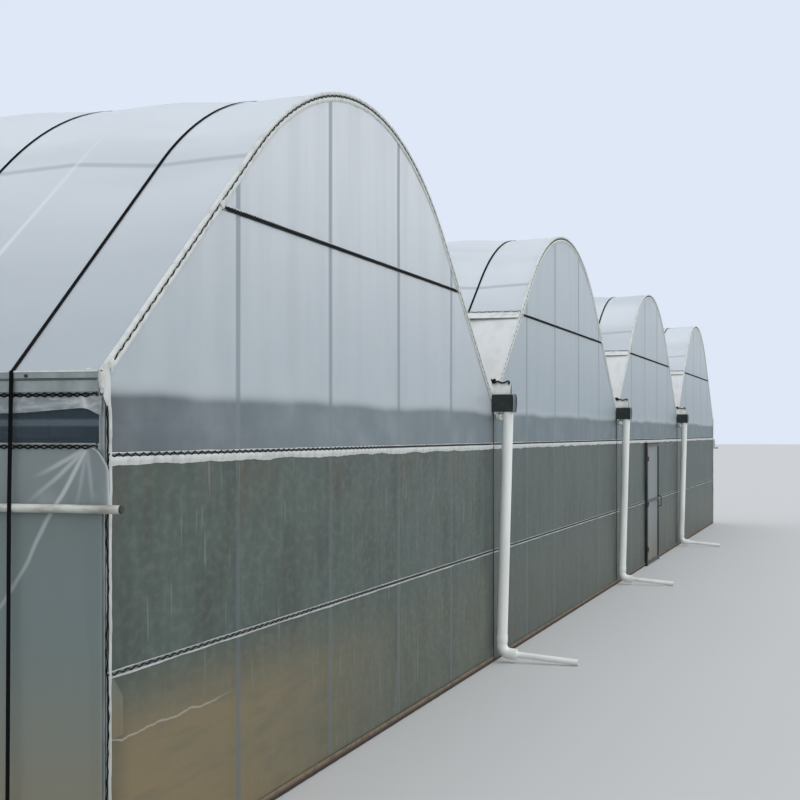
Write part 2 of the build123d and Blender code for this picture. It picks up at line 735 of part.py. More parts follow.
with BuildPart() as door_leaf:
    with BuildSketch(leaf_plane):
        with Locations((leaf_mid_x, leaf_low)):
            Rectangle(leaf_right - leaf_left, leaf_high - leaf_low, align=(Align.CENTER, Align.MIN))
        for low, high in fields:
            with Locations((leaf_mid_x, (low + high) / 2)):
                Rectangle(field_width, high - low, mode=Mode.SUBTRACT)
    extrude(amount=LEAF_T)
    with BuildLine() as handle_path:
        FilletPolyline(
            (handle_x, jamb_front, HANDLE_Z - HANDLE_LENGTH / 2),
            (handle_x, jamb_front - HANDLE_STANDOFF, HANDLE_Z - HANDLE_LENGTH / 2),
            (handle_x, jamb_front - HANDLE_STANDOFF, HANDLE_Z + HANDLE_LENGTH / 2),
            (handle_x, jamb_front, HANDLE_Z + HANDLE_LENGTH / 2),
            radius=2 * HANDLE_R,
        )
    with BuildSketch(handle_path.line ^ 0):
        Circle(HANDLE_R)
    sweep()
    for z in hinge_zs:
        with BuildSketch(Plane.XY.offset(z + HINGE_GAP)):
            with Locations((hinge_x, hinge_y)):
                Circle(HINGE_R)
            with Locations((hinge_x, jamb_front)):
                Rectangle(HINGE_LEAF_W, HINGE_PLATE_T, align=(Align.MIN, Align.MAX))
            with Locations((hinge_x, hinge_y)):
                Rectangle(HINGE_R, HINGE_STANDOFF, align=(Align.MIN, Align.MIN))
                Circle(HINGE_BORE_R, mode=Mode.SUBTRACT)
        extrude(amount=HINGE_H)
save(door_leaf, "door_leaf")

with BuildPart() as door_film:
    with BuildSketch(Plane.XZ.offset(-jamb_front)):
        for low, high in fields:
            with Locations((leaf_mid_x, (low + high) / 2)):
                Rectangle(field_width, high - low)
    extrude(amount=-FILM_T)
save(door_film, "door_film")

# Hinge pins on the jamb: the leaf's knuckles drop over them
with BuildPart() as door_hinges:
    for z in hinge_zs:
        with BuildSketch(Plane.XY.offset(z - HINGE_H)):
            with Locations((hinge_x, hinge_y)):
                Circle(HINGE_R)
            with Locations((hinge_x, jamb_front)):
                Rectangle(HINGE_LEAF_W, HINGE_PLATE_T, align=(Align.MAX, Align.MAX))
            with Locations((hinge_x, hinge_y)):
                Rectangle(HINGE_R, HINGE_STANDOFF, align=(Align.MAX, Align.MIN))
        extrude(amount=HINGE_H)
        with BuildSketch(Plane.XY.offset(z)):
            with Locations((hinge_x, hinge_y)):
                Circle(HINGE_PIN_R)
        extrude(amount=HINGE_H - HINGE_PIN_R)
save(door_hinges, "door_hinges")
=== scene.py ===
# %% [markdown]
# # Dressing a multi-span film greenhouse
#
# The real thing is a block of four bow-roofed spans. Galvanised tubes carry gutters, bows and lock
# channels, and milky polyethylene film is stretched over them. The steel comes from the CAD frame
# and only gets its finish here. Everything made of film, wire or webbing is modelled in this file,
# because that is where the life of the real object is: sagging film, crumpled edges, black wire.

import math
import random
from contextlib import contextmanager

import bpy
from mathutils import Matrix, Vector, noise


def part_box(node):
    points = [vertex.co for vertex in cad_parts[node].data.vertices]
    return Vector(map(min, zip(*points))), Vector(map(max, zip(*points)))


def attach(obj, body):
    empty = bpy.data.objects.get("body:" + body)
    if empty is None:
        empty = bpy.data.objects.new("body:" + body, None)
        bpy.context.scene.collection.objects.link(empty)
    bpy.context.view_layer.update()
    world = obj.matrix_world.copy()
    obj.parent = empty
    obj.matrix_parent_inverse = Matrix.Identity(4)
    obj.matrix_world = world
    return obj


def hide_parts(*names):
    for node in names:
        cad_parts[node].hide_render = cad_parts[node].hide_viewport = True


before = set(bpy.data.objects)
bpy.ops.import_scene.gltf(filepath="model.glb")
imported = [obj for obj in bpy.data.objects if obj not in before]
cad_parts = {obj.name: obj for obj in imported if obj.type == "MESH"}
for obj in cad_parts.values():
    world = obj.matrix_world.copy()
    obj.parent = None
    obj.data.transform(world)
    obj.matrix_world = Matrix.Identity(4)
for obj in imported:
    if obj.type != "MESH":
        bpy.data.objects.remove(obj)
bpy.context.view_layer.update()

# %% [markdown]
# ## The sizes that everything hangs on
#
# The frame says where the steel stands, so the spans, the gable plane and the side plane are read
# from its boxes. The heights of the rails and the bow's radius repeat the real sizes, in metres.

# %% Sizes from the frame
def middle(node):
    """The middle of a CAD node's box."""
    low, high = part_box(node)
    return (low + high) / 2


ENDS = ((-1, "front"), (1, "back"))
SIDES = ((-1, "left"), (1, "right"))
SPANS = 4
RIB_PITCH, POST_PITCH = 1.1, 1.6
CROWN_R = 3.6
ARCH_RISE = 2.08
FILM_SAG = 0.030
RAIL_Z, WAIST_Z, HIGH_RAIL_Z = 2.150, 1.100, 3.540
CURTAIN_RAIL_Z, VENT_RAIL_Z, ROLL_Z, VENT_TUBE_Z = 2.200, 3.570, 1.900, 2.312
CHANNEL_W, ARCH_CHANNEL_W, FILM_T = 0.030, 0.050, 0.004

span = middle("column_line_2").x - middle("column_line_1").x
half_span = span / 2
half_width = SPANS * half_span
span_xs = [-half_width + half_span + span * i for i in range(SPANS)]
valley_xs = [x + half_span for x in span_xs[:-1]]
gable_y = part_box("gable_rails_back")[1].y
side_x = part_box("side_rails_right")[1].x
edge_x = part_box("column_line_5")[1].x
column_face = edge_x - half_width
frame_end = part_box("column_line_1")[1].y - column_face
side_end = frame_end + column_face
crown_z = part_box("roof_film_span_1")[1].z
spring_z = crown_z - ARCH_RISE
gutter_base, gutter_top = (corner.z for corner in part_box("valley_gutter_1"))
eave_base, eave_top = (corner.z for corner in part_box("eave_beam_left"))
top_rail_z = eave_base - CHANNEL_W / 2
cord_ys = [-frame_end + RIB_PITCH * (i + 0.5) for i in range(round(2 * frame_end / RIB_PITCH))]
print(f"span {span:.3f}, gable plane {gable_y:.3f}, side plane {side_x:.3f}, ridge {crown_z:.3f}")

# %% [markdown]
# ## The line of a bow
#
# A bow is a round crown with a straight flank on each side. Every film, cord and wire on the roof
# follows it, so one function gives the point that lies a given way along the bow from its ridge,
# and a given way out from the film's outer face.

# %% Points on a bow
crown_centre_z = crown_z - CROWN_R
flank = math.asin(CROWN_R / math.hypot(half_span, CROWN_R - ARCH_RISE)) - math.atan2(
    CROWN_R - ARCH_RISE, half_span
)
crown_length = CROWN_R * flank


def bow_point(along, out=0.0):
    """(x, z) from the middle of a span: along the bow from its ridge, and out from the film."""
    turn = math.copysign(min(abs(along) / CROWN_R, flank), along)
    straight = max(0.0, abs(along) - crown_length)
    x = (CROWN_R + out) * math.sin(turn) + math.copysign(straight * math.cos(flank), along)
    z = crown_centre_z + (CROWN_R + out) * math.cos(turn) - straight * math.sin(flank)
    return x, z


def over_bow(index, along, y, out):
    """A point over the bow of one span, at y on its ridge line."""
    x, z = bow_point(along, out)
    return Vector((span_xs[index] + x, y, z))


def bow_foot(z, out=0.0):
    """How far along the bow its flank reaches height z."""
    return crown_length + (crown_centre_z + (CROWN_R + out) * math.cos(flank) - z) / math.sin(flank)


def bow_x(z, out=0.0):
    """Half width of the bow at height z."""
    if z < bow_point(crown_length, out)[1]:
        return bow_point(bow_foot(z, out), out)[0]
    return math.sqrt(max(0.0, (CROWN_R + out) ** 2 - (z - crown_centre_z) ** 2))


print(f"flank {math.degrees(flank):.2f} degrees, film {2 * bow_foot(gutter_top):.2f} m over a bow")

# %% [markdown]
# ## The camera
#
# The photograph was taken at eye height near one corner, looking along the row of gables with a
# normal lens. The level horizon lies a little below the middle of the picture, so the lens is
# shifted up instead of tilting the camera, which keeps the uprights upright.

# %% Camera
EYE = (-22.459, -10.068, 2.26)
HEADING = math.radians(16.874)
FOCAL_PIXELS, PICTURE_PIXELS, HORIZON_PIXEL = 1500, 800, 433.5
camera_data = bpy.data.cameras.new("viewpoint")
camera_data.sensor_width = 36
camera_data.lens = camera_data.sensor_width * FOCAL_PIXELS / PICTURE_PIXELS
camera_data.shift_y = (HORIZON_PIXEL - PICTURE_PIXELS / 2) / PICTURE_PIXELS
camera = bpy.data.objects.new("viewpoint", camera_data)
camera.location = EYE
camera.rotation_euler = (math.radians(90), 0, HEADING - math.radians(90))
bpy.context.scene.collection.objects.link(camera)
bpy.context.scene.camera = camera
print("lens", camera_data.lens, "shift", round(camera_data.shift_y, 4))

# %% [markdown]
# ## Small helpers for shapes
#
# Film is made from a flat grid whose points are then laid where the film hangs, and gets a real
# thickness with Solidify. Drawn at its true 0.2 mm it would flicker, so it is drawn at a millimetre.

# %% Choosing and editing
FILM_DRAWN = 0.001
ALONG_Y = (math.radians(90), 0, 0)


def deselect_all():
    """Frees the selection, so that an operator acts only on what is chosen next."""
    bpy.ops.object.select_all(action="DESELECT")


def pick(piece):
    """Selects one piece and makes it the active one."""
    deselect_all()
    piece.select_set(True)
    bpy.context.view_layer.objects.active = piece


def apply_modifier(piece, kind, **settings):
    """Adds a modifier with its settings and applies it."""
    pick(piece)
    modifier = piece.modifiers.new(kind.title(), kind)
    for key, value in settings.items():
        setattr(modifier, key, value)
    bpy.ops.object.modifier_apply(modifier=modifier.name)


@contextmanager
def editing(piece, whole=True):
    """Edit mode on one piece, with all of it selected, or only the faces chosen before."""
    pick(piece)
    bpy.ops.object.mode_set(mode="EDIT")
    if whole:
        bpy.ops.mesh.select_all(action="SELECT")
    yield
    bpy.ops.object.mode_set(mode="OBJECT")


def face_outwards(piece):
    """Recalculates the normals of a closed mesh."""
    with editing(piece):
        bpy.ops.mesh.normals_make_consistent(inside=False)


def smooth(piece, angle):
    """Smooth shading, with edges sharper than that angle in degrees kept sharp."""
    pick(piece)
    bpy.ops.object.shade_smooth_by_angle(angle=math.radians(angle))


# %% Cylinders, wires and films
def cylinder(vertices, radius, depth, location, rotation, ends="NGON"):
    """A cylinder, turned by angles in radians, with its object at the origin."""
    deselect_all()
    bpy.ops.mesh.primitive_cylinder_add(
        vertices=vertices, radius=radius, depth=depth,
        location=location, rotation=rotation, end_fill_type=ends,
    )
    bpy.ops.object.transform_apply(location=True, rotation=True, scale=True)
    return bpy.context.object


def bent_wire(name, points, radius):
    """A round wire along a smooth route through points, as a mesh."""
    route = bpy.data.curves.new(name, "CURVE")
    route.dimensions = "3D"
    route.bevel_depth = radius
    route.bevel_resolution = 1
    line = route.splines.new("NURBS")
    line.points.add(len(points) - 1)
    for point, place in zip(line.points, points):
        point.co = (*place, 1)
    line.order_u = 3
    line.use_endpoint_u = True
    wire = bpy.data.objects.new(name, route)
    bpy.context.scene.collection.objects.link(wire)
    pick(wire)
    bpy.ops.object.convert(target="MESH")
    return bpy.context.object


def film(name, columns, rows, place, thickness=FILM_DRAWN, whiten=None):
    """A sheet laid over place(u, v), with u and v from 0 to 1, then thickened.

    whiten(y, z) tells the film's shader where a sharp fold has turned it white.
    """
    deselect_all()
    bpy.ops.mesh.primitive_grid_add(x_subdivisions=columns, y_subdivisions=rows, size=1)
    sheet = bpy.context.object
    sheet.name = name
    for vertex in sheet.data.vertices:
        vertex.co = place(vertex.co.x + 0.5, vertex.co.y + 0.5)
    sheet["flat_area"] = sum(face.area for face in sheet.data.polygons)
    if whiten:
        white = sheet.data.attributes.new("fold", "FLOAT", "POINT")
        for vertex in sheet.data.vertices:
            white.data[vertex.index].value = whiten(vertex.co.y, vertex.co.z)
    apply_modifier(sheet, "SOLIDIFY", thickness=thickness, offset=0)
    face_outwards(sheet)
    smooth(sheet, 50)
    return sheet


def join(pieces, name):
    """Joins pieces into one with that name."""
    deselect_all()
    for piece in pieces:
        piece.select_set(True)
    bpy.context.view_layer.objects.active = pieces[0]
    bpy.ops.object.join()
    pieces[0].name = name
    return pieces[0]


# %% Numbers
def mixed(start, end, share):
    """The value that lies a share of the way from start to end."""
    return start + (end - start) * share


def unit(value):
    """The value, kept between 0 and 1."""
    return min(1.0, max(0.0, value))


def ripple(x, y, z, size):
    """Smooth noise from -1 to 1 that changes over about that size in metres."""
    return noise.noise(Vector((x, y, z)) / size)


# %% [markdown]
# ## Small helpers for finishes
#
# Colours are written as the eye reads them, as sRGB hex values, and one function turns them into
# the linear light that the renderer mixes. One more function adds a node with its settings and its
# links to the material that was started last. Every material below is built from those two.

# %% Finish helpers
def colour(hex_value):
    """An sRGB hex colour as linear RGBA."""
    parts = [int(hex_value[i : i + 2], 16) / 255 for i in (0, 2, 4)]
    linear = [c / 12.92 if c <= 0.04045 else ((c + 0.055) / 1.055) ** 2.4 for c in parts]
    return (*linear, 1.0)


def add_node(kind, inputs=None, **settings):
    """Adds a node. An input takes a value, or the output that it is linked to."""
    made = tree.nodes.new(kind)
    for key, value in settings.items():
        setattr(made, key, value)
    for key, value in (inputs or {}).items():
        if isinstance(value, bpy.types.NodeSocket):
            tree.links.new(value, made.inputs[key])
        else:
            made.inputs[key].default_value = value
    return made


def maths(operation, *values):
    """The result of one sum on numbers or outputs."""
    return add_node("ShaderNodeMath", dict(enumerate(values)), operation=operation).outputs[0]


def new_material(name):
    """Starts an empty material. The functions here add their nodes to the one started last."""
    global tree, where
    material = bpy.data.materials.new(name)
    material.use_nodes = True
    tree = material.node_tree
    tree.nodes.clear()
    where = add_node("ShaderNodeTexCoord").outputs["Object"]
    return material


def cloudy(size, detail=4.0, stretch=(1, 1, 1)):
    """Noise with lumps of a real size in metres, drawn out along the axes that stretch names."""
    scaled = add_node("ShaderNodeMapping", {"Vector": where, "Scale": [1 / s for s in stretch]})
    inputs = {"Vector": scaled.outputs[0], "Scale": 1 / size, "Detail": detail}
    return add_node("ShaderNodeTexNoise", inputs).outputs[0]


def ramp(value, low, high, start=0.0, end=1.0):
    """Carries value from its range low to high over to start to end, smoothly."""
    inputs = {"Value": value, "From Min": low, "From Max": high, "To Min": start, "To Max": end}
    return add_node("ShaderNodeMapRange", inputs, interpolation_type="SMOOTHSTEP").outputs[0]


def blend_colours(share, first, second):
    """A colour between two others, each a hex value or an output."""
    first, second = (colour(c) if isinstance(c, str) else c for c in (first, second))
    return add_node("ShaderNodeMix", {0: share, 6: first, 7: second}, data_type="RGBA").outputs[2]


def bumped(height, distance, strength=1.0):
    """A normal from a height."""
    inputs = {"Height": height, "Distance": distance, "Strength": strength}
    return add_node("ShaderNodeBump", inputs).outputs[0]


def finish_shader(shader):
    """Joins a shader to the material's output."""
    add_node("ShaderNodeOutputMaterial", {"Surface": shader.outputs[0]})


def wear(piece, material):
    """Gives a piece its only material."""
    piece.data.materials.clear()
    piece.data.materials.append(material)


# %% [markdown]
# ## Greenhouse film
#
# Blown polyethylene film is milky: part of the light goes straight through, part is scattered on
# to the other side and part comes back. So its shader mixes a satin surface, a translucent one and
# a clear one. A film has two faces, so each face lets through the square root of what the whole
# film does. Rain and dust leave upright streaks in it. Where a post or a bow lies against the film
# from behind, the tube is painted in as a soft line of painted light and shade.

# %% Film shader
def film_shader(tint, clear, folds, satin=0.40, scatter=0.15):
    """Joins a film's shares: tint is its colour, clear how much goes straight through it."""
    face_clear = maths("POWER", clear, 0.5)
    surface = add_node(
        "ShaderNodeBsdfPrincipled",
        {"Base Color": tint, "Roughness": satin, "IOR": 1.5, "Normal": folds},
    )
    glow = add_node("ShaderNodeBsdfTranslucent", {"Color": tint, "Normal": folds})
    body = add_node("ShaderNodeMixShader", {0: scatter, 1: surface.outputs[0], 2: glow.outputs[0]})
    gap = add_node("ShaderNodeBsdfTransparent")
    shares = {0: face_clear, 1: body.outputs[0], 2: gap.outputs[0]}
    finish_shader(add_node("ShaderNodeMixShader", shares))


def streaked(tint, dirt, share, size, stretch):
    """The tint with streaks of dirt over it."""
    streaks = ramp(cloudy(size, 6.0, stretch), 0.42, 0.72, 0.0, share)
    return blend_colours(streaks, tint, dirt)


def along_axis(axis):
    """One of the three object coordinates."""
    return add_node("ShaderNodeSeparateXYZ", {0: where}).outputs[axis]


def lines(value, pitch, first, half, soft):
    """1 on lines that repeat at a pitch, 0 between them. soft is the blur of their edges."""
    shifted = maths("SUBTRACT", value, first)
    wrapped = maths("WRAP", shifted, pitch / 2, -pitch / 2)
    away = maths("ABSOLUTE", wrapped)
    return ramp(away, half - soft, half + soft, 1.0, 0.0)


def times(first, second):
    """The product of two values."""
    return maths("MULTIPLY", first, second)


def whitened(tint, fold, share):
    """The tint with its sharp folds turned white."""
    return blend_colours(times(fold, share), tint, "e3e8e8")


def wavered(value, size, detail, swing):
    """A height or an angle that wavers a little, so that a line along it isn't ruled."""
    waver = ramp(cloudy(size, detail), 0.3, 0.7, -swing, swing)
    return maths("ADD", value, waver)


# %% Roof film material
# Streaks are drawn out upright. The dim line along each flank is painted shade, and lies where a tube
# was seen against the film.
UPRIGHT = (1, 1, 14)
SIDE_LINE = 2.23
ONE_LINE = 9.0


def roof_film_material():
    """Film over bows, pale near the ridge: a painted light line on each bow, a painted shade line along
    each flank.
    """
    material = new_material("milky_polyethylene_roof_film")
    height = along_axis(2)
    tint = blend_colours(ramp(height, 2.6, 4.4), "c0c8cb", "e7edef")
    tint = streaked(tint, "a9b1b4", 0.22, 0.8, (1, 3, 1))
    across = along_axis(0)
    # Painted shade: a dim line along each flank, where a tube behind the film takes the light away.
    offset = half_span - SIDE_LINE
    sides = [lines(across, span, shift, 0.022, 0.016) for shift in (-offset, offset)]
    both = maths("MAXIMUM", *sides)
    tint = blend_colours(times(both, 0.45), tint, "97a1aa")
    # Painted light: a light line where the film lies on each bow, fading up the roof and near the
    # gables.
    along = along_axis(1)
    bow_light_line = lines(along, RIB_PITCH, 0.0, 0.014, 0.012)
    bow_light_line = times(bow_light_line, ramp(height, 3.4, 4.5, 0.75, 0.10))
    bow_light_line = times(bow_light_line, ramp(maths("ABSOLUTE", along), 6.2, 6.4, 1.0, 0.0))
    tint = blend_colours(bow_light_line, tint, "eef1f2")
    film_shader(tint, 0.06, bumped(cloudy(0.25, 3.0, (9, 1, 9)), 0.004))
    return material


roof_film = roof_film_material()
print(roof_film.name)

# %% [markdown]
# Above the gutters the gable film is painted bright, for the light that comes through the roof
# behind it. Below them a clearer band is painted dark, for the shaded interior seen through it, and
# a thin light line runs along the edge between them. The wall film under the white rail is dusty
# and painted dark for the interior behind it, with rusty runs below the rail, soil heaped against
# its foot and painted shade at the valley columns.

# %% Gable film material
def painted_post_lines(tint, share, tone="8c999e"):
    """Painted light and shade of the posts, one every 1.6 m, where they lie against the film from
    behind: darker over bright film, lighter over dark film.
    """
    posts = lines(along_axis(0), POST_PITCH, 0.0, 0.034, 0.014)
    return blend_colours(times(posts, share), tint, tone)


def valley_shade(tint, share):
    """The dim strip where the film runs past a valley column."""
    columns = lines(along_axis(0), span, 0.0, 0.16, 0.14)
    return blend_colours(times(columns, share), tint, "3c4441")


def gable_film_material():
    """Milky film, painted bright above the gutters and painted dark in the clearer band at its foot."""
    material = new_material("fogged_polyethylene_gable_film")
    height = along_axis(2)
    rise = ramp(wavered(height, 1.6, 4.0, 0.016), 2.425, 2.535)
    # Painted light: above the gutter line the film is bright for the light coming through the roof
    # behind it, brighter towards the crown.
    fog = blend_colours(ramp(height, 2.5, 4.4), "c8d1d4", "eef2f3")
    across = along_axis(0)
    # Painted shade: the clearer band below is dark for the shaded interior seen through it.
    band = blend_colours(ramp(across, -15.8, -13.0), "6f7a7d", "869498")
    band = blend_colours(ramp(across, -8.2, -7.6, 0.0, 0.9), band, "6c7a7b")
    tint = blend_colours(rise, band, fog)
    tint = streaked(tint, "9ba7a9", 0.12, 0.22, UPRIGHT)
    tint = streaked(tint, "dfe6e6", 0.16, 0.35, (1.6, 1, 1))
    # On spans 2 to 4 the painted light is toned down.
    tint = blend_colours(ramp(across, -8.2, -7.6, 0.0, 0.36), tint, "8da3a8")
    fallen = maths("SUBTRACT", 1.0, rise)
    tint = valley_shade(tint, times(fallen, 0.35))
    tint = blend_colours(times(times(fallen, rise), 1.9), tint, "dde4e5")
    # Painted light and shade where the posts lie against the gable film.
    tint = painted_post_lines(tint, 0.72)
    clear = ramp(rise, 0.0, 1.0, 0.10, 0.03)
    film_shader(tint, clear, bumped(cloudy(0.30, 3.0, (1, 1, 5)), 0.0015))
    return material


arch_film = gable_film_material()
print(arch_film.name)


# %% Wall film material
def wall_film_material():
    """Dusty film of the lower walls, its dark base tone painted shade of the interior behind it."""
    material = new_material("dusty_polyethylene_wall_film")
    height, across = along_axis(2), along_axis(0)
    near = ramp(across, -15.6, -10.6, 1.0, 0.16)
    soil = times(ramp(height, 0.62, 1.16, 1.0, 0.0), near)
    soil = times(soil, ramp(cloudy(0.30, 5.0, (8, 1, 1)), 0.25, 0.55, 0.85, 1.0))
    # Painted shade: the dark base and its darker lumps stand for the shaded interior seen through the
    # film.
    lumps = ramp(cloudy(0.55, 3.0, (1, 1, 1.6)), 0.45, 0.68, 0.0, 0.55)
    tint = blend_colours(lumps, "526459", "40473e")
    below_rail = ramp(height, 1.50, 2.12, 0.0, 0.55)
    runs = ramp(cloudy(0.20, 4.0, (1, 1, 7)), 0.48, 0.70)
    rust = lines(across, POST_PITCH, 0.09, 0.10, 0.08)
    runs = maths("MAXIMUM", runs, rust)
    tint = blend_colours(times(runs, below_rail), tint, "665c46")
    tint = streaked(tint, "7d8881", 0.18, 0.13, UPRIGHT)
    tint = streaked(tint, "8d8f80", 0.26, 0.05, (1.8, 1, 1))
    scratches = ramp(cloudy(0.03, 1.0, (1, 1, 16)), 0.68, 0.74, 0.0, 0.35)
    tint = blend_colours(scratches, tint, "a3aba3")
    tint = streaked(tint, "3a4239", 0.30, 0.11, (1, 1, 1.4))
    mud = streaked("96855e", "7c7459", 0.55, 0.06, (7, 1, 1))
    tint = blend_colours(soil, tint, mud)
    tint = blend_colours(ramp(across, -8.2, -7.6, 0.0, 0.30), tint, "4c5a54")
    tint = valley_shade(tint, 0.45)
    crease = lines(wavered(height, 0.25, 3.0, 0.012), ONE_LINE, 0.773, 0.005, 0.004)
    crease = times(crease, ramp(across, -14.9, -14.4, 0.6, 0.0))
    tint = blend_colours(crease, tint, "cfc9ba")
    # Painted light where the posts lie against the dark wall film.
    tint = painted_post_lines(tint, ramp(height, 0.3, 1.8, 0.75, 0.40), "707d7e")
    film_shader(tint, 0.08, bumped(cloudy(0.16, 3.0, (1, 1, 5)), 0.0015))
    return material


wall_film = wall_film_material()
print(wall_film.name)

# %% Creases from the corner knot
KNOT_IN, KNOT_Z = 0.066, CURTAIN_RAIL_Z - 0.008
# Each crease: its lean in degrees, its strength, and how far it reaches in metres.
CREASES = ((31, 1.0, 1.9), (49, 0.75, 0.50), (63, 0.75, 0.36), (12, 0.375, 0.35), (-6, 0.375, 0.30))


def fan_share():
    """The creases that fan down from the knot at a corner, each as wide as two fingers."""
    level = maths("ABSOLUTE", along_axis(1))
    away = maths("SUBTRACT", side_end - KNOT_IN, level)
    down = maths("SUBTRACT", KNOT_Z, along_axis(2))
    angle = wavered(maths("ARCTAN2", away, down), 0.40, 2.0, 0.022)
    ray = add_node("ShaderNodeCombineXYZ", {0: away, 1: down}).outputs[0]
    reach = add_node("ShaderNodeVectorMath", {0: ray}, operation="LENGTH").outputs["Value"]
    whole = 0.0
    for lean, strength, length in CREASES:
        beside = maths("ABSOLUTE", maths("SUBTRACT", angle, math.radians(lean)))
        line = ramp(times(beside, reach), 0.002, 0.018, strength, 0.0)
        line = times(line, ramp(reach, 0.15, length, 1.0, 0.0))
        whole = maths("MAXIMUM", whole, line)
    return whole


# %% The other films
def plain_film_material(
    name, low, high, turn, dirt, share, size, stretch, clear, satin=0.40, fold=0, fan=0
):
    """Film that changes from a low to a high colour over the heights turn."""
    material = new_material(name)
    tint = blend_colours(ramp(along_axis(2), *turn), low, high)
    tint = streaked(tint, dirt, share, size, stretch)
    if fold:
        marked = add_node("ShaderNodeAttribute", attribute_name="fold").outputs["Fac"]
        tint = whitened(tint, marked, fold)
    if fan:
        tint = whitened(tint, fan_share(), fan)
    film_shader(tint, clear, bumped(cloudy(size, 3.0, stretch), 0.002), satin)
    return material


side_film = plain_film_material(
    "dusty_polyethylene_side_film", "978f74", "7e8c89", (0.0, 1.45), "98a29f", 0.35, 0.20,
    (1, 1.5, 5), 0.10, fan=0.50
)
curtain_film = plain_film_material(
    "slack_polyethylene_curtain", "86918f", "8c9797", (1.9, 2.1), "aab4b3", 0.55, 0.16,
    (1, 1.5, 2), 0.06, fold=0.8, fan=0.6
)
folded_film = plain_film_material(
    "folded_polyethylene_edge", "c4c6bd", "dcdfda", (0.3, 2.4), "a3a498", 0.45, 0.07,
    (1, 1, 1.5), 0.0, 0.45
)
loose_film = plain_film_material(
    "crumpled_polyethylene_flap", "a9a798", "98a2a3", (0.6, 1.6), "dde2e2", 0.75, 0.035,
    (1, 2.5, 1), 0.14, 0.30, 0.9
)
door_skin = plain_film_material(
    "dusty_polyethylene_door_film", "8b8778", "919b9c", (0.1, 0.9), "a5a698", 0.40, 0.10,
    UPRIGHT, 0.10
)
vent_film = plain_film_material(
    "white_polyethylene_vent_film", "dcdedb", "e6e8e6", (2.7, 3.5), "b9b5a4", 0.22, 0.10,
    (2, 1, 2), 0.03
)
# Painted shade: this dark film stands for the shade in the valley seams and in the step under the eave
# ledge.
shade_dark_film = plain_film_material(
    "shade_dark_polyethylene_seam", "3d4441", "4a524f", (0.2, 2.2), "6f7874", 0.40, 0.05,
    (1, 1, 6), 0.0
)
# Painted light and shade: the roll is darker on its underside and lighter on its top; the brown streaks
# are dirt.
rolled_film = plain_film_material(
    "rolled_polyethylene_film_painted_shading", "b4b6ab", "dcded6", (1.86, 1.94), "6f6b5c", 0.70, 0.05,
    (1, 4, 1), 0.0, 0.45
)
lapped_film = plain_film_material(
    "lapped_polyethylene_edge", "8d8163", "7f8577", (0.80, 1.06), "6a624e", 0.45, 0.10,
    UPRIGHT, 0.05
)
soil_fold = plain_film_material(
    "soil_stained_polyethylene_hem", "372c23", "82705b", (0.015, 0.055), "4d3f32", 0.70, 0.06,
    (2, 2, 1), 0.0, 0.7
)
print("film materials:", sum("polyethylene" in material.name for material in bpy.data.materials))

# %% [markdown]
# ## Metal, plastic and webbing
#
# Hot-dip galvanised steel weathers from bright spangle to a dull blue grey with pale bloom and
# darker drips. The outlet boxes and the coated wire are black plastic, the downpipes are white PVC
# that has gone a little yellow and dusty, and the press cords are woven black webbing.

# %% Metal, plastic and weave
def metal_material(name, clean, bloom, rough):
    """Weathered galvanised steel or aluminium: patchy bloom over a satin metal."""
    material = new_material(name)
    patches = ramp(cloudy(0.12, 5.0, (1, 1, 3)), 0.35, 0.75)
    grain = cloudy(0.02, 2.0)
    shade = blend_colours(patches, clean, bloom)
    inputs = {
        "Base Color": shade,
        "Metallic": 0.45,
        "Roughness": ramp(grain, 0.3, 0.7, rough - 0.08, rough + 0.10),
        "Normal": bumped(grain, 0.0006),
    }
    finish_shader(add_node("ShaderNodeBsdfPrincipled", inputs))
    return material


def plastic_material(name, clean, dust, dust_share, rough, size=0.15, stretch=(1, 1, 4), shine=0.5):
    """Moulded or extruded plastic with dust that lies in drips and patches."""
    material = new_material(name)
    dusty = ramp(cloudy(size, 6.0, stretch), 0.40, 0.75, 0.0, dust_share)
    inputs = {
        "Base Color": blend_colours(dusty, clean, dust),
        "Roughness": ramp(dusty, 0.0, 1.0, rough, min(1.0, rough + 0.35)),
        "Specular IOR Level": shine,
        "Normal": bumped(cloudy(0.008, 3.0), 0.0008),
    }
    finish_shader(add_node("ShaderNodeBsdfPrincipled", inputs))
    return material


def woven_material(name, thread, gap, pitch, open_share):
    """Plain weave: threads at a real pitch along the object's axes, with open holes or none."""
    material = new_material(name)
    threads = [
        add_node(
            "ShaderNodeTexWave",
            {"Vector": where, "Scale": math.pi / (10 * pitch), "Distortion": 0.4},
            bands_direction=axis,
        ).outputs[1]
        for axis in ("Y", "Z")
    ]
    weave = maths("MAXIMUM", *threads)
    shade = blend_colours(weave, gap, thread)
    if open_share:
        behind = lines(along_axis(2), ONE_LINE, VENT_TUBE_Z, 0.016, 0.008)
        shade = blend_colours(times(behind, 0.55), shade, "6b7980")
    inputs = {
        "Base Color": shade,
        "Roughness": 0.9,
        "Specular IOR Level": 0.1,
        "Normal": bumped(weave, 0.0006),
    }
    cloth = add_node("ShaderNodeBsdfPrincipled", inputs)
    if open_share:
        hole = add_node("ShaderNodeBsdfTransparent")
        holes = ramp(weave, 0.3, 0.9, math.sqrt(open_share), 0.0)
        cloth = add_node("ShaderNodeMixShader", {0: holes, 1: cloth.outputs[0], 2: hole.outputs[0]})
    finish_shader(cloth)
    return material


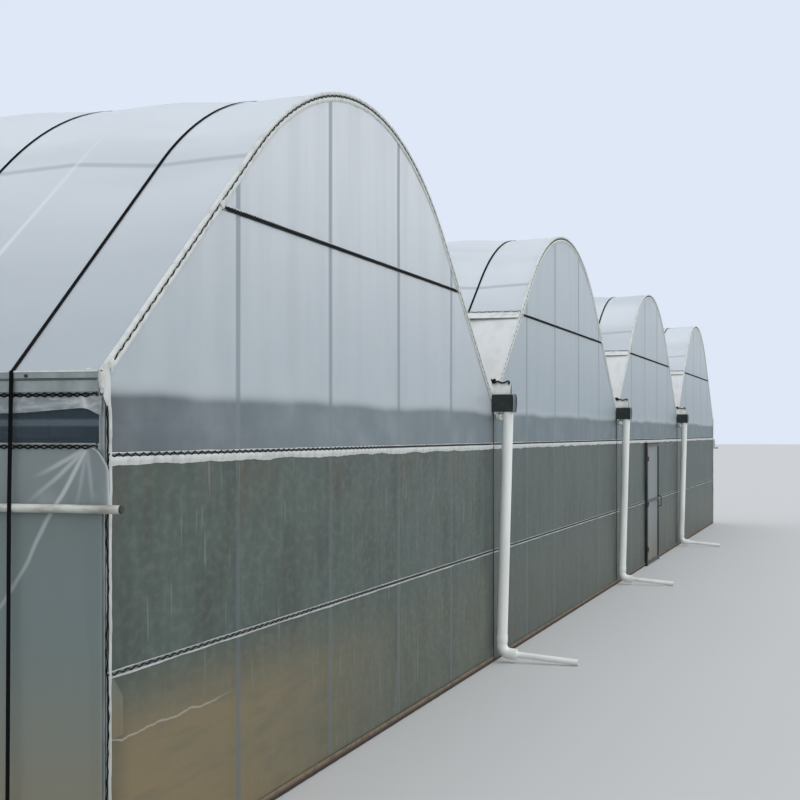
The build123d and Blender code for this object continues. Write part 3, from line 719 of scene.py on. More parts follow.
# %% Hard materials
galvanised_tube = metal_material("galvanised_steel_tube", "8d989b", "aab3b3", 0.50)
galvanised_post = metal_material("weathered_galvanised_post", "6f7d80", "8c979a", 0.52)
galvanised_sheet = metal_material("galvanised_gutter_sheet", "858e8d", "9ca5a2", 0.50)
lock_metal = metal_material("rolled_lock_channel", "8d9492", "adb2ae", 0.48)
hinge_metal = metal_material("dull_hinge_steel", "4b4d4c", "6a6661", 0.55)
black_paint = plastic_material("black_painted_steel", "101312", "5e5c52", 0.35, 0.42)
wire_coat = plastic_material("black_coated_spring_wire", "050606", "1d1f1d", 0.20, 0.60, shine=0.15)
outlet_plastic = plastic_material(
    "dark_moulded_outlet_plastic", "18211e", "36403a", 0.5, 0.38, 0.04, (1, 1, 1.5)
)
white_pvc = plastic_material("weathered_white_pvc", "e9ece7", "b5b5a5", 0.40, 0.35, 0.20, (1, 1, 5))
webbing = woven_material("black_woven_webbing", "0c0d0f", "050506", 0.0022, 0.0)
insect_net = woven_material("dark_insect_net", "3b464d", "1c262d", 0.0040, 0.30)
print("materials in all:", len(bpy.data.materials))

# %% [markdown]
# ## Finishes for the steel
#
# These CAD nodes have the right shape, so they only get a better material.

# %% Dress the steel
STEEL = {
    "column_line_": galvanised_post,
    "valley_gutter_": galvanised_sheet,
    "eave_beam_": galvanised_sheet,
    "arches_span_": galvanised_tube,
    "purlins": galvanised_tube,
    "tie_": galvanised_tube,
    "gable_posts_": galvanised_post,
    "gable_arch_channels_": lock_metal,
    "gable_rails_": lock_metal,
    "side_rails_": lock_metal,
    "roof_vent_rails": lock_metal,
    "curtain_roll_tube_": galvanised_tube,
    "outlet_boxes_": outlet_plastic,
    "downpipes_": white_pvc,
    "door_frame": black_paint,
    "door_leaf": black_paint,
    "door_hinges": hinge_metal,
}
dressed = []
for node_name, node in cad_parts.items():
    for start, material in STEEL.items():
        if node_name.startswith(start):
            wear(node, material)
            dressed.append(node_name)
print("dressed CAD nodes:", len(dressed))

# %% [markdown]
# ## Roof film
#
# Each span's film is one wide sheet. It lies taut on the bows and every press cord pulls it down
# halfway between them, so it rises and falls like a scallop along the ridge. The sag fades towards
# the gutters, where the film is clamped. Long soft creases run up and over with the cords.

# %% Roof film
random.seed(4)
EAVE_LEANS = [-0.115] + [random.uniform(-0.03, 0.03) for _ in cord_ys[1:]]


def feet_along(index):
    """How far along its bow the roof of a span reaches on its left and right."""
    return [bow_foot(eave_top if index == outer else gutter_top) for outer in (0, SPANS - 1)]


def sag_fade(along, foot):
    """How much of the sag is left along the bow: all on the crown, none at the foot."""
    return unit((foot - abs(along)) / (foot - crown_length))


def cord_place(index, number, along, foot):
    """Where along the ridge a cord lies. On the outer flanks it leans to where it is tied."""
    outer = (index == 0 and along < 0) or (index == SPANS - 1 and along > 0)
    return cord_ys[number] + (EAVE_LEANS[number] * (1 - sag_fade(along, foot)) if outer else 0.0)


def sag_at(index, y, along, foot):
    """How deep the film is pulled in, from 0 on a bow to 1 under a cord."""
    if abs(y) >= frame_end:
        return 0.0
    number = min(int((y + frame_end) / RIB_PITCH), len(cord_ys) - 1)
    trough = cord_place(index, number, along, foot)
    reach = abs(cord_ys[number] + math.copysign(RIB_PITCH / 2, y - trough) - trough)
    return 1 - (abs(y - trough) / reach) ** 0.85


def roof_surface(index, u, v):
    """Point of the roof film: u across the span from left to right, v along the ridge."""
    left, right = feet_along(index)
    along = mixed(-left, right, u)
    foot = left if along < 0 else right
    y = mixed(-gable_y, gable_y, v)
    fade = sag_fade(along, foot)
    crease = 0.0020 * ripple(along / 6, y, index * 7, 0.20) + 0.004 * ripple(along / 2, y, index, 0.7)
    edge = min(1.0, (gable_y - abs(y)) / 0.1)
    sag = FILM_SAG * sag_at(index, y, along, foot) * fade
    return over_bow(index, along, y, -sag - FILM_T / 2 + crease * fade * edge)


def put(piece, body, material, slot, *nodes):
    """Finishes a piece: its material, the body it rides on, and the nodes it stands for."""
    wear(piece, material)
    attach(piece, body)
    if nodes:
        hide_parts(*nodes)
    return piece


def group(pieces, name, material, slot, *nodes):
    """Joins pieces of the building and finishes them as one."""
    whole = put(join(pieces, name), "building", material, slot, *nodes)
    print(name, len(whole.data.polygons), "faces")


for index in range(SPANS):
    sheet = film(f"roof_film_sheet_span_{index + 1}", 64, 146, lambda u, v: roof_surface(index, u, v))
    put(sheet, "building", roof_film, "roof_film", f"roof_film_span_{index + 1}")
    width = sum(feet_along(index))
    print(sheet.name, f"{width:.2f} x {2 * gable_y:.2f} m")

# %% [markdown]
# ## Gable film
#
# The gable film is cut into heights, each clamped between two lock channels. It billows a little
# between them and pulls into small scallops at the clamps. The heights under the bows are bounded
# by the bow's channel, the two below the white rail by the uprights.

# %% Shape of the gable film
bow_inside = -(FILM_T + ARCH_CHANNEL_W)
arch_top = bow_point(0, bow_inside)[1]
door_left, door_right = (corner.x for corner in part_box("door_frame"))


def field_ends(index):
    """Left and right ends of the film between two columns of a gable."""
    left, right = span_xs[index] - half_span, span_xs[index] + half_span
    outer, inner = CHANNEL_W - column_face, CHANNEL_W / 2
    return left + (outer if index == 0 else inner), right - (outer if index == SPANS - 1 else inner)


def on_gable(end, x, out, z):
    """A point that stands out of a gable's plane. end is -1 at the front and 1 at the back."""
    return Vector((x, end * (gable_y + out), z))


def wall_offset(x, z, low, high, seed):
    """How far the wall film stands out of its plane: billow, upright creases, pull at the clamps."""
    inside = math.sin(math.pi * unit((z - low) / (high - low)))
    billow = 0.004 * ripple(x, seed, z / 2, 0.9)
    crease = 0.0010 * ripple(x, seed + 5, z / 9, 0.16)
    pull = 0.0015 * math.sin(x * 2 * math.pi / 0.26 + 3 * ripple(x, seed, 0, 0.5)) * (1 - inside) ** 2
    return (billow + crease) * inside + pull


def wall_rectangle(name, end, left, right, low, high):
    """A rectangle of wall film on one gable."""
    def place(u, v):
        x, z = mixed(left, right, u), mixed(low, high, v)
        return on_gable(end, x, wall_offset(x, z, low, high, 3 * end) - FILM_T / 2, z)

    columns = max(8, round((right - left) / 0.065))
    return film(name, columns, round((high - low) / 0.13), place)


def under_bow(name, end, index, low, high):
    """Wall film under a bow between two heights. With no high it goes up to the bow's crown."""
    left_wall, right_wall = field_ends(index)

    def place(u, v):
        if high:
            z = mixed(low, high, v)
            reach = bow_x(z, bow_inside)
            x = mixed(max(left_wall, span_xs[index] - reach), min(right_wall, span_xs[index] + reach), u)
        else:
            half = bow_x(low, bow_inside) - 0.001
            local = mixed(-half, half, u)
            inner = math.asin(min(1.0, abs(local) / (CROWN_R + bow_inside)))
            roof = (
                crown_centre_z + (CROWN_R + bow_inside) * math.cos(inner)
                if inner < flank
                else low + (half - abs(local)) * math.tan(flank)
            )
            x, z = span_xs[index] + local, mixed(low, roof, v)
        return on_gable(end, x, wall_offset(x, z, low, high or arch_top, end) - FILM_T / 2, z)

    return film(name, 100, round(((high or arch_top) - low) / 0.09), place)


# %% Lay the gable film
gable_sheets = 0
for end, end_name in ENDS:
    for index in range(SPANS):
        label = f"{end_name}_span_{index + 1}"
        edge = CHANNEL_W / 2
        left, right = field_ends(index)
        stretches = [(left, right, "")]
        if end == -1 and left < door_left < right:
            stretches = [(left, door_left, "_left_of_door"), (door_right, right, "_right_of_door")]
        parts = ((0.0, WAIST_Z - edge, "low"), (WAIST_Z + edge, RAIL_Z - edge, "middle"))
        for low, high, level in parts:
            for start, stop, tail in stretches:
                sheet = wall_rectangle(f"wall_film_{label}_{level}{tail}", end, start, stop, low, high)
                put(sheet, "building", wall_film, "wall_film", f"gable_wall_film_{end_name}")
                gable_sheets += 1
        parts = ((RAIL_Z + edge, HIGH_RAIL_Z - edge, "haunch"), (HIGH_RAIL_Z + edge, None, "crown"))
        for low, high, level in parts:
            sheet = under_bow(f"arch_film_{label}_{level}", end, index, low, high)
            put(sheet, "building", arch_film, "gable_arch_film", f"gable_arch_film_{end_name}")
            width = right - left if high else 2 * bow_x(low, bow_inside)
            gable_sheets += 1
print("gable sheets:", gable_sheets)

# %% [markdown]
# ## Side walls
#
# A side wall has a fixed film, an open vent band closed with dark net, and a curtain that rolls
# down over it on a tube. Here the curtain is down. It is tied up short at its corner, so creases
# fan out from that knot and run on over the film. Above the net hangs a loose clear flap.

# %% Shape of the side walls
def curtain_end(z):
    """How far the curtain reaches along the wall: it swells past the corner below its knot."""
    swell = 0.085 * unit((KNOT_Z - z) / 0.10) ** 0.6
    return side_end - 0.03 + swell + 0.02 * max(0.0, 2.1 - z)


def edge_white(y, z):
    """How white the film is in the fold at its end."""
    return math.exp(-(((curtain_end(z) - abs(y)) / 0.014) ** 2))


def side_sheet(name, side, reach, low, high, face, relief, columns, rows, whiten=None):
    """Film on a side wall: its half length, its low and high edge, its plane and relief(y, z)."""
    def place(u, v):
        swing = math.sin(math.pi * (u - 0.5))
        foot = low(swing * side_end) if callable(low) else low
        z = mixed(foot, high, v)
        y = (reach(z) if callable(reach) else reach) * swing
        return Vector((side * (face + relief(y, z)), y, z))

    return film(name, columns, rows, place, whiten=whiten)


def curtain_relief(y, z):
    """The curtain: a rounded fold at each end and slack ripples in between."""
    return 0.004 + 0.012 * edge_white(y, z) + 0.004 * abs(ripple(y, 1, z / 4, 0.15))


def wall_relief(y, z):
    """The fixed film, with upright creases and a slow billow."""
    return 0.0018 + 0.0015 * abs(ripple(y, 2, z / 2, 0.7)) + 0.0006 * ripple(y, 4, z / 9, 0.09)


def flap_edge(y):
    """Lower edge of the loose flap above the net: short beside its bright fold, long at the corner."""
    inwards = side_end - abs(y)
    drop = mixed(0.056, 0.088, min(1.0, inwards / 0.45)) + 0.040 * math.exp(-((inwards / 0.055) ** 2))
    slow, fast = ripple(y, 9, 0, 0.8) * min(1.0, inwards), ripple(y, 3, 0, 0.12)
    return top_rail_z - drop - 0.012 * slow - 0.003 * fast


def flap_white(y, z):
    """The flap's bright fold near the corner and the pale slant beside it."""
    inwards, drop = side_end - abs(y), top_rail_z - z
    fold = math.exp(-(((inwards - 0.088 + 0.25 * drop) / 0.016) ** 2))
    slant = math.exp(-(((drop - 0.02 - 0.10 * inwards) / 0.008) ** 2)) * (0.1 < inwards < 0.5)
    return min(1.0, fold + 0.5 * slant)


# %% Lay the side walls
for side, side_name in SIDES:
    top = CURTAIN_RAIL_Z - CHANNEL_W / 2
    wall = side_sheet(
        f"side_film_{side_name}", side, gable_y - 0.002, 0.0, top, side_x, wall_relief, 260, 20
    )
    put(wall, "building", side_film, "wall_film", f"side_wall_film_{side_name}")
    curtain = side_sheet(
        f"roll_up_curtain_{side_name}", side, curtain_end, ROLL_Z, CURTAIN_RAIL_Z - 0.009, side_x,
        curtain_relief, 300, 16, edge_white,
    )
    put(curtain, "building", curtain_film, "curtain_film", f"side_curtain_{side_name}")
    low, high = CURTAIN_RAIL_Z + CHANNEL_W / 2, top_rail_z - CHANNEL_W / 2
    net = side_sheet(
        f"insect_net_{side_name}", side, side_end - 0.004, low, high, side_x + 0.0015,
        lambda y, z: 0.0006 * ripple(y, 6, z, 0.3), 60, 4,
    )
    put(net, "building", insect_net, "vent_net", f"vent_net_{side_name}")
    flap = side_sheet(
        f"vent_flap_{side_name}", side, gable_y - 0.004, flap_edge, top_rail_z - 0.006, side_x + 0.006,
        lambda y, z: 0.003 * ripple(y, 8, z, 0.05) + 0.005 * ripple(y, 5, z, 0.2), 340, 6, flap_white,
    )
    put(flap, "building", loose_film, "curtain_film")
print("side wall pieces made")

# %% [markdown]
# ## Rolled film on the curtain tube
#
# The spare film is wound on the tube in a lumpy roll. A cylinder is cut into rings, each ring is
# pushed out by noise on its outer side, and it stays slim where a press cord crosses it. Each end
# of the tube is closed with a dished black plug.

# %% Curtain rolls
def curtain_roll(side, side_name):
    """Lumpy roll of film over the curtain tube, open where the tube sticks out."""
    low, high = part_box(f"curtain_roll_tube_{side_name}")
    centre, tube_r, length = (low + high) / 2, (high.z - low.z) / 2, high.y - low.y - 0.012
    roll = cylinder(16, tube_r + 0.0006, length, centre, ALONG_Y, "NOTHING")
    with editing(roll):
        bpy.ops.mesh.subdivide_edgering(number_cuts=220, interpolation="LINEAR", smoothness=0)
    for vertex in roll.data.vertices:
        out = vertex.co - Vector((centre.x, vertex.co.y, centre.z))
        outer = max(0.0, side * out.x / tube_r) + max(0.0, -out.z / tube_r) * 0.5
        near_cord = min(abs(vertex.co.y - y - lean) for y, lean in zip(cord_ys, EAVE_LEANS))
        past_wall = unit((length / 2 - abs(vertex.co.y)) / 0.12)
        swell = 0.0035 + 0.002 * ripple(vertex.co.y, out.z * 9, 2, 0.11)
        slim = unit((near_cord - 0.014) / 0.05) * past_wall
        vertex.co += out.normalized() * swell * min(1.0, outer) * slim
    apply_modifier(roll, "SOLIDIFY", thickness=0.0008, offset=1)
    smooth(roll, 60)
    roll.name = f"rolled_curtain_film_{side_name}"
    return put(roll, "building", rolled_film, "roll_tube")


def tube_plug(side_name, end):
    """A dished plug in one end of a curtain tube, with a slanted rim."""
    low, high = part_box(f"curtain_roll_tube_{side_name}")
    centre = (low + high) / 2
    spot = (centre.x, end * (high.y + 0.0062), centre.z)
    plug = cylinder(24, (high.z - low.z) / 2 + 0.001, 0.010, spot, ALONG_Y)
    for face in plug.data.polygons:
        face.select = face.normal.y * end > 0.9
    with editing(plug, whole=False):
        bpy.ops.mesh.select_mode(type="FACE")
        bpy.ops.mesh.inset(thickness=0.003)
        bpy.ops.mesh.inset(thickness=0.002)
        bpy.ops.transform.translate(value=(0, -end * 0.006, 0))
        bpy.ops.mesh.select_mode(type="VERT")
    return plug


for side, side_name in SIDES:
    print(curtain_roll(side, side_name).name)
plugs = [tube_plug(side_name, end) for _, side_name in SIDES for end in (-1, 1)]
group(plugs, "curtain_tube_plugs", black_paint, "roll_tube")

# %% [markdown]
# ## Film folded over the bow channels
#
# At each gable the roof film is turned over the curved lock channel and its spare edge is cut
# rough. From outside that is two white ridges with a dark groove between them.

# %% Bow wraps
WRAP_SECTION = (
    (0.0010, 0.016), (0.0040, 0.006), (0.0036, -0.0022), (-0.003, -0.0062), (-0.012, -0.0066),
    (-0.0180, -0.0030), (-0.0205, 0.0050), (-0.0335, 0.0050), (-0.0360, -0.0030), (-0.042, -0.0068),
    (-0.054, -0.0058), (-0.063, 0.0000),
)


def bow_wrap(index, end):
    """Film turned over one bow's channel. The section's points are (out, inwards from the gable)."""
    left, right = feet_along(index)

    def place(u, v):
        along = mixed(-left, right, u)
        step = v * (len(WRAP_SECTION) - 1)
        first = min(int(step), len(WRAP_SECTION) - 2)
        out, inwards = (mixed(a, b, step - first) for a, b in zip(*WRAP_SECTION[first : first + 2]))
        loose = max(0.0, (v - 0.8) / 0.2)
        out += loose * 0.005 * ripple(along, index, end, 0.09)
        inwards += 0.0012 * ripple(along, v * 3, index, 0.05)
        inwards -= loose * 0.003 * abs(ripple(along, 7, end, 0.06))
        return over_bow(index, along, end * (gable_y - inwards), out)

    return film(f"wrap_{index}_{end}", 190, len(WRAP_SECTION) - 1, place, 0.0008)


for end, end_name in ENDS:
    wraps = [bow_wrap(index, end) for index in range(SPANS)]
    group(wraps, f"bow_film_wraps_{end_name}", folded_film, "roof_film")

# %% [markdown]
# ## Spring wire
#
# A zigzag of coated spring wire locks the film into its channel. One zigzag is modelled by
# extruding a small ring four times, Array repeats it, and the run is then laid in its groove. In
# the rails that hold two films there are two wires, half a zigzag apart.

# %% One zigzag of wire
WIRE_PERIOD, WIRE_SWING, WIRE_R = 0.088, 0.0085, 0.0046


def one_zigzag():
    """One period of the wire along X, swinging along Z."""
    deselect_all()
    bpy.ops.mesh.primitive_circle_add(vertices=3, radius=WIRE_R, rotation=(0, math.radians(90), 0))
    wire = bpy.context.object
    bpy.ops.object.transform_apply(location=False, rotation=True, scale=False)
    with editing(wire):
        for swing in (WIRE_SWING, -WIRE_SWING, -WIRE_SWING, WIRE_SWING):
            step = (WIRE_PERIOD / 4, 0, swing)
            bpy.ops.mesh.extrude_region_move(TRANSFORM_OT_translate={"value": step})
    wire.name = "one_zigzag"
    return wire


zigzag = one_zigzag()
print(zigzag.name, len(zigzag.data.vertices), "points")


def wire_run(length, lay, shift=0.0):
    """A run of wire of that length. lay(x, y, z) puts each of its points in place."""
    run = zigzag.copy()
    run.data = zigzag.data.copy()
    bpy.context.scene.collection.objects.link(run)
    apply_modifier(
        run, "ARRAY", count=max(1, int((length - shift) / WIRE_PERIOD)), use_merge_vertices=True,
        merge_threshold=1e-4,
    )
    for vertex in run.data.vertices:
        wobble = 0.0012 * ripple(vertex.co.x, shift * 9, length, 0.2)
        vertex.co = lay(vertex.co.x + shift, vertex.co.y, vertex.co.z + wobble)
    return run


def finish_wires(runs, name):
    """Joins runs of wire, closes their ends and gives them their coat."""
    wires = join(runs, name)
    with editing(wires):
        bpy.ops.mesh.fill_holes(sides=3)
        bpy.ops.mesh.normals_make_consistent(inside=False)
    bpy.ops.object.shade_smooth()
    put(wires, "building", wire_coat, "lock_channel")
    print(name, len(wires.data.polygons), "faces")

# %% [markdown]
# Every groove gets its wire: the bow channels, the three levels of rails and the uprights on both
# gables, the two rails on each side wall and the vent rails on the roof.

# %% Lay the wires
TWO_WIRES = (0.0, WIRE_PERIOD / 2)
ARCH_GROOVE_OUT = -0.027


def rail_stretches(end, split_at_door):
    """Left and right ends of the level rails on a gable."""
    for index in range(SPANS):
        left, right = field_ends(index)
        left, right = left + 0.002, right - 0.002
        if split_at_door and end == -1 and left < door_left < right:
            yield left, door_left - 0.002
            yield door_right + 0.002, right
        else:
            yield left, right


def level_wire(end, left, right, rail_z, out, shift=0.0, tall=1.0):
    """Wire in a level rail on a gable, standing out of its plane by that much."""
    def lay(x, y, z):
        return Vector((left + x, end * (gable_y + out) + y, rail_z + tall * z))

    return wire_run(right - left, lay, shift)


def upright_wire(end, column_x, top, out, show=0.0):
    """Wire in an upright channel on a gable. With show it comes out of the film here and there."""
    def lay(x, y, z):
        depth = out + show * ripple(x, column_x, end, 0.35)
        return Vector((column_x + 0.7 * z, end * (gable_y + depth) + y, x))

    return wire_run(top, lay)


def bow_wire(end, index):
    """Wire in the curved channel of one bow."""
    left, right = feet_along(index)

    return wire_run(
        left + right, lambda x, y, z: over_bow(index, x - left, end * gable_y + y, ARCH_GROOVE_OUT + z)
    )


for end, end_name in ENDS:
    finish_wires([bow_wire(end, index) for index in range(SPANS)], f"bow_wires_{end_name}")
    runs = []
    for left, right in rail_stretches(end, True):
        runs.append(level_wire(end, left, right, WAIST_Z + 0.002, 0.005, 0.0, 0.8))
    for left, right in rail_stretches(end, False):
        runs.append(level_wire(end, left, right, RAIL_Z + 0.006, 0.004))
    for cx in span_xs:
        half = bow_x(HIGH_RAIL_Z, bow_inside) - 0.02
        for shift in TWO_WIRES:
            runs.append(level_wire(end, cx - half, cx + half, HIGH_RAIL_Z, 0.004, shift, 1.3))
    finish_wires(runs, f"rail_wires_{end_name}")
    corner_x = edge_x - 0.024
    uprights = [upright_wire(end, x, gutter_base - 0.01, -0.001) for x in valley_xs]
    uprights += [upright_wire(end, x, spring_z - 0.09, 0.007, 0.011) for x in (-corner_x, corner_x)]
    finish_wires(uprights, f"upright_wires_{end_name}")

for side, side_name in SIDES:
    half = side_end - 0.006
    runs = []
    for rail_z, out in ((top_rail_z, 0.007), (CURTAIN_RAIL_Z - 0.004, 0.009)):
        def lay(x, y, z, rail_z=rail_z, out=out):
            return Vector((side * (side_x + out) + y, x - half, rail_z + z))

        runs += [wire_run(2 * half, lay, shift) for shift in TWO_WIRES]
    finish_wires(runs, f"side_wires_{side_name}")

vent_lift = 0.0123
vent_along = -bow_foot(VENT_RAIL_Z, vent_lift)


def vent_wire(index):
    """Wire in the vent rail on one flank."""
    return wire_run(
        2 * gable_y, lambda x, y, z: over_bow(index, vent_along + z, x - gable_y, vent_lift + y)
    )


finish_wires([vent_wire(index) for index in range(1, SPANS)], "roof_vent_wires")
bpy.data.objects.remove(zigzag)

# %% [markdown]
# ## Rough film edges along the rails
#
# Where two sheets meet at a rail, their spare edges are folded into the groove and stick out. Under
# the white rail a strip of two fingers' width hangs down, crumpled and cut by eye. At the other
# rails only a thin white lip shows beside the wire. At the ground the film ends in a muddy hem.

# %% Shape of a hem
WHITE_HEM = 0.042
WAIST_LIPS = ((0.012, -0.004, 0.002, 0.002, 30, 0.06), (-0.010, 0.010, 0.005, 0.004, 50, 0.05))
jamb_proud = -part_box("door_frame")[0].y - gable_y


def hem(end, left, right, z_top, depth, ragged, bulge, seed, step=0.03):
    """A strip of folded film that hangs from a rail, or stands above it if its depth is negative.

    Its edge is ragged by that much, it bulges out of the gable, and it bridges the door's head.
    """
    over_door = end == -1 and RAIL_Z - 0.01 < z_top < RAIL_Z

    def place(u, v):
        x = mixed(left, right, u)
        hang = depth + ragged * ripple(x, seed, 0, 0.30) + 0.4 * ragged * ripple(x, seed, 4, 0.06)
        crumple = 0.003 * ripple(x, seed, v, 0.04) + 0.003 * ripple(x, seed + 2, v, 0.11)
        out = 0.001 + bulge * math.sin(math.pi * min(1.0, 0.15 + v)) + crumple * min(1.0, 3 * v)
        if over_door and door_left - 0.02 < x < door_right + 0.02:
            hang = WHITE_HEM
            out += jamb_proud * min(1.0, 3 * v)
        return on_gable(end, x, out, z_top - hang * v)

    return film(f"hem_{seed}", max(20, round((right - left) / step)), 3 if depth > 0.03 else 2, place)


# %% Lay the hems
for end, end_name in ENDS:
    strips = []
    for number, (left, right) in enumerate(rail_stretches(end, False)):
        strips.append(hem(end, left, right, RAIL_Z - 0.002, WHITE_HEM, 0.012, 0.008, 10 * number + end))
    group(strips, f"white_rail_hems_{end_name}", folded_film, "wall_film")
    lips = []
    for number, (left, right) in enumerate(rail_stretches(end, True)):
        for lift, depth, ragged, bulge, seed, step in WAIST_LIPS:
            lip_z, seed = WAIST_Z + lift, seed + number + end
            lips.append(hem(end, left, right, lip_z, depth, ragged, bulge, seed, step))
    for number, (left, right) in enumerate(rail_stretches(end, False)):
        lips.append(hem(end, left, right, RAIL_Z + 0.013, -0.006, 0.003, 0.002, 70 + number + end, 0.06))
    for number, cx in enumerate(span_xs):
        half = bow_x(HIGH_RAIL_Z, bow_inside) - 0.01
        left, right, above = cx - half, cx + half, HIGH_RAIL_Z + 0.012
        lips.append(hem(end, left, right, above, -0.008, 0.003, 0.003, 90 + number + end, 0.05))
    group(lips, f"rail_film_lips_{end_name}", folded_film, "wall_film")
    foot_hems = []
    for number, (left, right) in enumerate(rail_stretches(end, True)):
        foot_hems.append(hem(end, left, right, 0.062, 0.060, 0.0, 0.010, 110 + number + end, 0.05))
    group(foot_hems, f"ground_hems_{end_name}", soil_fold, "wall_film")

# %% [markdown]
# ## Corner wraps, seams and knots
#
# At the four corners the film is folded round the upright channel, so that the wire shows only
# here and there. Beside each valley column a fold of film is coloured dark as painted shade of the
# seam. Where a bow's band ends, and where a high rail meets it, the spare film is bunched into a
# knot. Along the eaves the roof film ends in a thin bright edge over the ledge, with a dark strip
# under it that paints the shadow below the ledge.

# %% Folds down the gables
def strip_down(name, end, place_at, top, rows, base=0.015):
    """A fold of film down a gable: place_at(z, v) gives its x and how far it stands out."""
    def place(u, v):
        z = mixed(base, top, u)
        x, out = place_at(z, v)
        return on_gable(end, x, out, z)

    return film(name, rows, 4, place)


def corner_wrap(side, end):
    """Cream fold down a corner channel: broad under the eave, narrow lower down."""
    def place_at(z, v):
        broad = unit((z - 2.37) / 0.06)
        centre = mixed(0.066, 0.040, broad) + 0.010 * ripple(z, side, end, 0.45) * (1 - broad)
        half = mixed(0.011, 0.036, broad) + 0.004 * ripple(z, side + 9, end, 0.20)
        out = 0.004 + 0.009 * math.sin(math.pi * v) + 0.003 * ripple(z, v * 0.1, side, 0.06)
        return side * (edge_x + 0.014 - centre - (2 * v - 1) * half), out

    return strip_down(f"corner_{side}_{end}", end, place_at, spring_z - 0.005, 130)


def lapped_edge(side, end):
    """The wall film's lapped edge beside a corner, under the waist rail."""
    def place_at(z, v):
        wide = 0.12 - 0.09 * max(0.0, (z - 0.98) / 0.10) + 0.008 * ripple(z, side, end, 0.2)
        across = mixed(0.060, 0.060 + wide, v)
        return side * (edge_x - across), 0.003 + 0.003 * v + 0.002 * ripple(z, v, side, 0.1)

    return strip_down(f"lap_{side}_{end}", end, place_at, 1.08, 24, 0.79)


def valley_seam(x, end):
    """Fold of film down beside a valley column, coloured dark as painted shade."""
    def place_at(z, v):
        out = 0.002 + 0.006 * math.sin(math.pi * v)
        return x + 0.002 + 0.016 * (v - 0.5) + 0.004 * ripple(z, x, end, 0.5), out

    return strip_down(f"seam_{x}_{end}", end, place_at, spring_z - 0.035, 90)


CORNERS = [(side, end) for side in (-1, 1) for end in (-1, 1)]
group([corner_wrap(*corner) for corner in CORNERS], "corner_film_wraps", folded_film, "wall_film")
group([lapped_edge(*corner) for corner in CORNERS], "corner_film_laps", lapped_film, "wall_film")
seams = [valley_seam(x, end) for x in valley_xs for end in (-1, 1)]
group(seams, "valley_film_seams", shade_dark_film, "wall_film")


# %% Knots
def knot(location, size, seed):
    """A bunch of film: a round body crumpled by noise. size holds its three half lengths."""
    deselect_all()
    bpy.ops.mesh.primitive_ico_sphere_add(subdivisions=3, radius=1)
    bunch = bpy.context.object
    for vertex in bunch.data.vertices:
        crumple = 1 + 0.45 * ripple(vertex.co.x, vertex.co.y + seed, vertex.co.z, 0.45)
        vertex.co = Vector(location) + Vector([c * s * crumple for c, s in zip(vertex.co, size)])
    smooth(bunch, 45)
    return bunch


# Each knot of a corner: its place outwards, along the wall and up, its half lengths, its seed.
CORNER_KNOTS = (
    (-0.068, gable_y + 0.006, 2.585, (0.030, 0.014, 0.034), 3),
    (0.012, side_end - 0.060, eave_top + 0.006, (0.012, 0.014, 0.007), 5),
    (0.008, gable_y - 0.004, 2.515, (0.022, 0.016, 0.060), 7),
)
rail_reach = bow_x(HIGH_RAIL_Z, bow_inside) + 0.006
bunches = []
for end in (-1, 1):
    for side in (-1, 1):
        for out, y, z, size, seed in CORNER_KNOTS:
            bunches.append(knot((side * (edge_x + out), end * y, z), size, seed * side + end))
    for cx in span_xs:
        for side in (-1, 1):
            spot = (cx + side * rail_reach, end * (gable_y + 0.006), HIGH_RAIL_Z + 0.012)
            bunches.append(knot(spot, (0.026, 0.012, 0.024), cx + side + end))
group(bunches, "film_knots", folded_film, "roof_film")


# %% Eave edges
eave_low, eave_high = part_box("eave_beam_right")


def eave_edge(side):
    """The roof film's lower edge over the eave ledge."""
    def place(u, v):
        y = mixed(eave_low.y, eave_high.y, u)
        drop = 0.008 + 0.002 * ripple(y, side, 0, 0.3)
        return Vector((side * (eave_high.x + 0.0012 + 0.001 * v), y, eave_top + 0.0025 - drop * v))

    return film(f"eave_{side}", 240, 2, place)


def eave_shadow_band(side):
    """Dark strip in the step under the eave ledge, a little slack: painted shadow under the ledge."""
    def place(u, v):
        y = mixed(eave_low.y + 0.01, eave_high.y - 0.01, u)
        z = eave_top - 0.034 - 0.011 * v + 0.001 * ripple(y, side, 0, 0.5)
        return Vector((side * (eave_high.x - 0.0045 + 0.003 * math.sin(math.pi * v)), y, z))

    return film(f"shadow_band_{side}", 120, 3, place)


group([eave_edge(side) for side in (-1, 1)], "eave_film_edges", folded_film, "roof_film")
# A dark strip paints the shadow under each eave ledge.
group([eave_shadow_band(side) for side in (-1, 1)], "eave_shadow_bands", shade_dark_film, "galvanised_sheet")

# %% [markdown]
# ## Roof vents
#
# On every span but the first, a vent runs along the left flank. Its curtain is a whiter film with
# soft folds, clamped under the vent rail with a doubled hem whose lower edge stands off the roof.

# %% Roof vents
vent_top = -bow_foot(VENT_RAIL_Z, 0.0) - CHANNEL_W / 2
VENT_HEM = 0.150


def vent_curtain(index):
    """Film from the vent rail down to the gutter, just over the roof film."""
    foot = bow_foot(gutter_top)

    def place(u, v):
        y, along = mixed(-gable_y + 0.004, gable_y - 0.004, u), mixed(vent_top, 0.006 - foot, v)
        sag = FILM_SAG * sag_at(index, y, along, foot) * sag_fade(along, foot)
        fold = 0.003 + 0.004 * ripple(y, index, along / 5, 0.35) * math.sin(math.pi * v)
        return over_bow(index, along, y, 0.0045 + fold - sag)

    return film(f"vent_curtain_span_{index + 1}", 220, 9, place)


